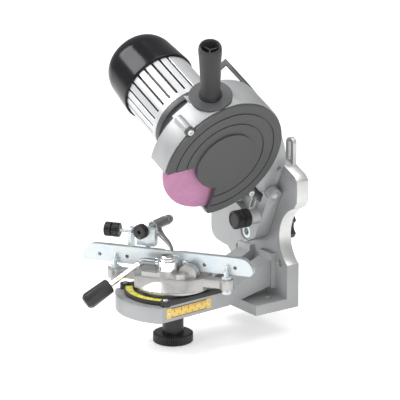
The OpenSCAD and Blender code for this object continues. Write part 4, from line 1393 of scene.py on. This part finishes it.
class SHARPENER_OT_stop(bpy.types.Operator):
    """Build the chain stop: carriage, adjusting screw and knobs, and the pawl with its finger"""

    bl_idname = "sharpener.stop"
    bl_label = "Chain stop"

    def execute(self, context):
        cast_from("stop_carriage", "stop_carriage_plate", "stop_slide", ["zinc"], 0.6)
        screw = thread(2.2, 44, 0.8, 0.3, 20, 40)
        add_piece("stop_screw_threaded", to_mesh(screw, STOP_SCREW), "stop_adjuster", ["zinc"],
                  ["stop_screw"])
        knob = clean(knurled_knob(8.4, 9.0, 22, 0.9, 0.8, 0.6))
        add_piece("stop_knob_knurled", placed(knob, STOP_SCREW @ move(0, 0, 77.6)), "stop_adjuster", ["knob"],
                  ["stop_knob"])
        nut = clean(knurled_knob(8.4, 8.8, 22, 0.9, 0.8, 0.6, 2.25))
        add_piece("stop_lock_knurled", placed(nut, STOP_SCREW @ move(0, 0, 68.4)), "stop_lock", ["knob"],
                  ["stop_lock_nut"])
        self.pawl()
        knob = clean(knurled_knob(8.6, 9.7, 20, 0.9, 0.9, 0.7, 2.45))
        mirror_z(knob, 9.7)
        add_piece("pawl_knob_knurled", placed(knob, PAWL @ move(0, 0, -5.3)), "pawl_clamp", ["knob"],
                  ["pawl_knob"])
        return {"FINISHED"}

    def pawl(self):
        """The pawl: a barrel on its pin, and a flat finger that curves down to the tooth."""
        barrel = lathe([(2.45, 24), (5.4, 24), (6.0, 24.7), (6.0, 49), (5.5, 49.5), (5.5, 51), (6.0, 51.5),
                        (6.0, 56.3),
                        (5.4, 57), (2.45, 57)], 48, loop=True)
        route = [(-28.6, 27.4, 92.6), (-22.8, 25, 86.7), (-12.6, 17, 82.3), (-5.5, 9, 78.6),
                 (-3.1, 3.5, 75.4)]
        path = curve_points(route, 8)
        n = len(path) - 1
        radii = [6.6 - 4.9 * (i / n) ** 0.75 for i in range(n + 1)]
        finger = swept(path, radii, 20, (1.0, 0.6), Vector((0.2079, 0.978, 0.0)))
        mesh = merge_shapes(to_mesh(barrel, PAWL), to_mesh(finger, VISE))
        add_piece("stop_pawl_cast", mesh, "pawl", ["pawl"], ["stop_pawl"])


# ---- Stage --------------------------------------------------------------------------------------
class SHARPENER_OT_stage(bpy.types.Operator):
    """Set the pale floor, the soft studio lamps and the photograph's camera"""

    bl_idname = "sharpener.stage"
    bl_label = "Stage"

    def execute(self, context):
        scene = context.scene
        bm = bmesh.new()
        bmesh.ops.create_grid(bm, x_segments=1, y_segments=1, size=4.0)
        floor_mesh = bpy.data.meshes.new("floor")
        bm.to_mesh(floor_mesh)
        bm.free()
        floor_mesh.transform(move(0, 0, -30.2 * MM))
        floor = bpy.data.objects.new("floor", floor_mesh)
        scene.collection.objects.link(floor)
        coat = Finish("floor_white", (0.86, 0.86, 0.86), 0.9, 0.0, 0.0, 0.1)
        seen = coat.node("ShaderNodeLightPath")
        coat.set("Emission Color", (1.0, 1.0, 1.0, 1.0))
        coat.set("Emission Strength", (seen["Is Camera Ray"] + seen["Is Glossy Ray"]) * 0.42)
        floor_mesh.materials.append(coat.material)
        self.world(scene)
        self.lamps(scene)
        self.camera(scene)
        scene.view_settings.view_transform = "Standard"
        return {"FINISHED"}

    def world(self, scene):
        world = bpy.data.worlds.new("studio")
        scene.world = world
        world.use_nodes = True
        tree = world.node_tree
        light = tree.nodes["Background"]
        light.inputs["Color"].default_value = (1.0, 1.0, 1.0, 1.0)
        light.inputs["Strength"].default_value = 0.42
        white = tree.nodes.new("ShaderNodeBackground")
        white.inputs["Color"].default_value = (1.0, 1.0, 1.0, 1.0)
        white.inputs["Strength"].default_value = 1.0
        path = tree.nodes.new("ShaderNodeLightPath")
        mix = tree.nodes.new("ShaderNodeMixShader")
        tree.links.new(path.outputs["Is Camera Ray"], mix.inputs[0])
        tree.links.new(light.outputs[0], mix.inputs[1])
        tree.links.new(white.outputs[0], mix.inputs[2])
        tree.links.new(mix.outputs[0], tree.nodes["World Output"].inputs["Surface"])

    def lamps(self, scene):
        for name, spot, size, power in (
                ("key", (-0.9, -1.1, 1.5), 1.1, 30.0), ("fill", (1.7, -0.7, 0.8), 1.2, 12.0),
                ("top", (0.3, 0.3, 2.0), 1.6, 16.0), ("strip", (-0.2, -1.5, 1.9), 0.06, 8.0)):
            data = bpy.data.lights.new(name, "AREA")
            data.shape = "RECTANGLE"
            data.size = size
            data.size_y = size if size > 1 else 1.5
            data.energy = power
            lamp = bpy.data.objects.new(name, data)
            lamp.location = spot
            lamp.rotation_euler = (Vector((0.0, -0.06, 0.12)) - Vector(spot)).to_track_quat("-Z",
                "Y").to_euler()
            scene.collection.objects.link(lamp)

    def camera(self, scene):
        azimuth, elevation = math.radians(54.7), math.radians(16.1)
        back = Vector((math.sin(azimuth) * math.cos(elevation), -math.cos(azimuth) * math.cos(elevation),
                       math.sin(elevation)))
        right = Vector((math.cos(azimuth), math.sin(azimuth), 0.0))
        up = back.cross(right)
        target = Vector((0.0, -0.1075, 0.0)) + right * 0.0309 + up * 0.1326
        data = bpy.data.cameras.new("camera")
        data.lens = sizes().lens
        data.sensor_width = 36.0
        data.clip_end = 20.0
        camera = bpy.data.objects.new("camera", data)
        camera.location = target + back * 3.0
        camera.rotation_euler = (-back).to_track_quat("-Z", "Y").to_euler()
        scene.collection.objects.link(camera)
        scene.camera = camera


class SHARPENER_PT_panel(bpy.types.Panel):
    """Lists the sharpener's sizes, colours and pieces"""

    bl_idname = "SHARPENER_PT_panel"
    bl_label = "Chain sharpener"
    bl_space_type = "VIEW_3D"
    bl_region_type = "UI"
    bl_category = "Sharpener"

    def draw(self, context):
        layout = self.layout
        for group in (context.scene.sharpener_sizes, context.scene.sharpener_colours):
            box = layout.box()
            for key in group.bl_rna.properties.keys():
                if key not in ("rna_type", "name"):
                    box.prop(group, key)
        for operator in PIECES:
            layout.operator(operator.bl_idname)


PIECES = (
    SHARPENER_OT_base, SHARPENER_OT_scales, SHARPENER_OT_carrier, SHARPENER_OT_housing, SHARPENER_OT_motor,
    SHARPENER_OT_handle, SHARPENER_OT_spindle, SHARPENER_OT_vise, SHARPENER_OT_lever, SHARPENER_OT_stop,
    SHARPENER_OT_stage,
)
CLASSES = (SharpenerColours, SharpenerSizes, *PIECES, SHARPENER_PT_panel)


def register():
    for cls in CLASSES:
        bpy.utils.register_class(cls)
    bpy.types.Scene.sharpener_colours = bpy.props.PointerProperty(type=SharpenerColours)
    bpy.types.Scene.sharpener_sizes = bpy.props.PointerProperty(type=SharpenerSizes)


def unregister():
    del bpy.types.Scene.sharpener_sizes
    del bpy.types.Scene.sharpener_colours
    for cls in reversed(CLASSES):
        bpy.utils.unregister_class(cls)


def main():
    register()
    for operator in PIECES:
        group, name = operator.bl_idname.split(".")
        getattr(getattr(bpy.ops, group), name)()


if __name__ == "__main__":
    main()
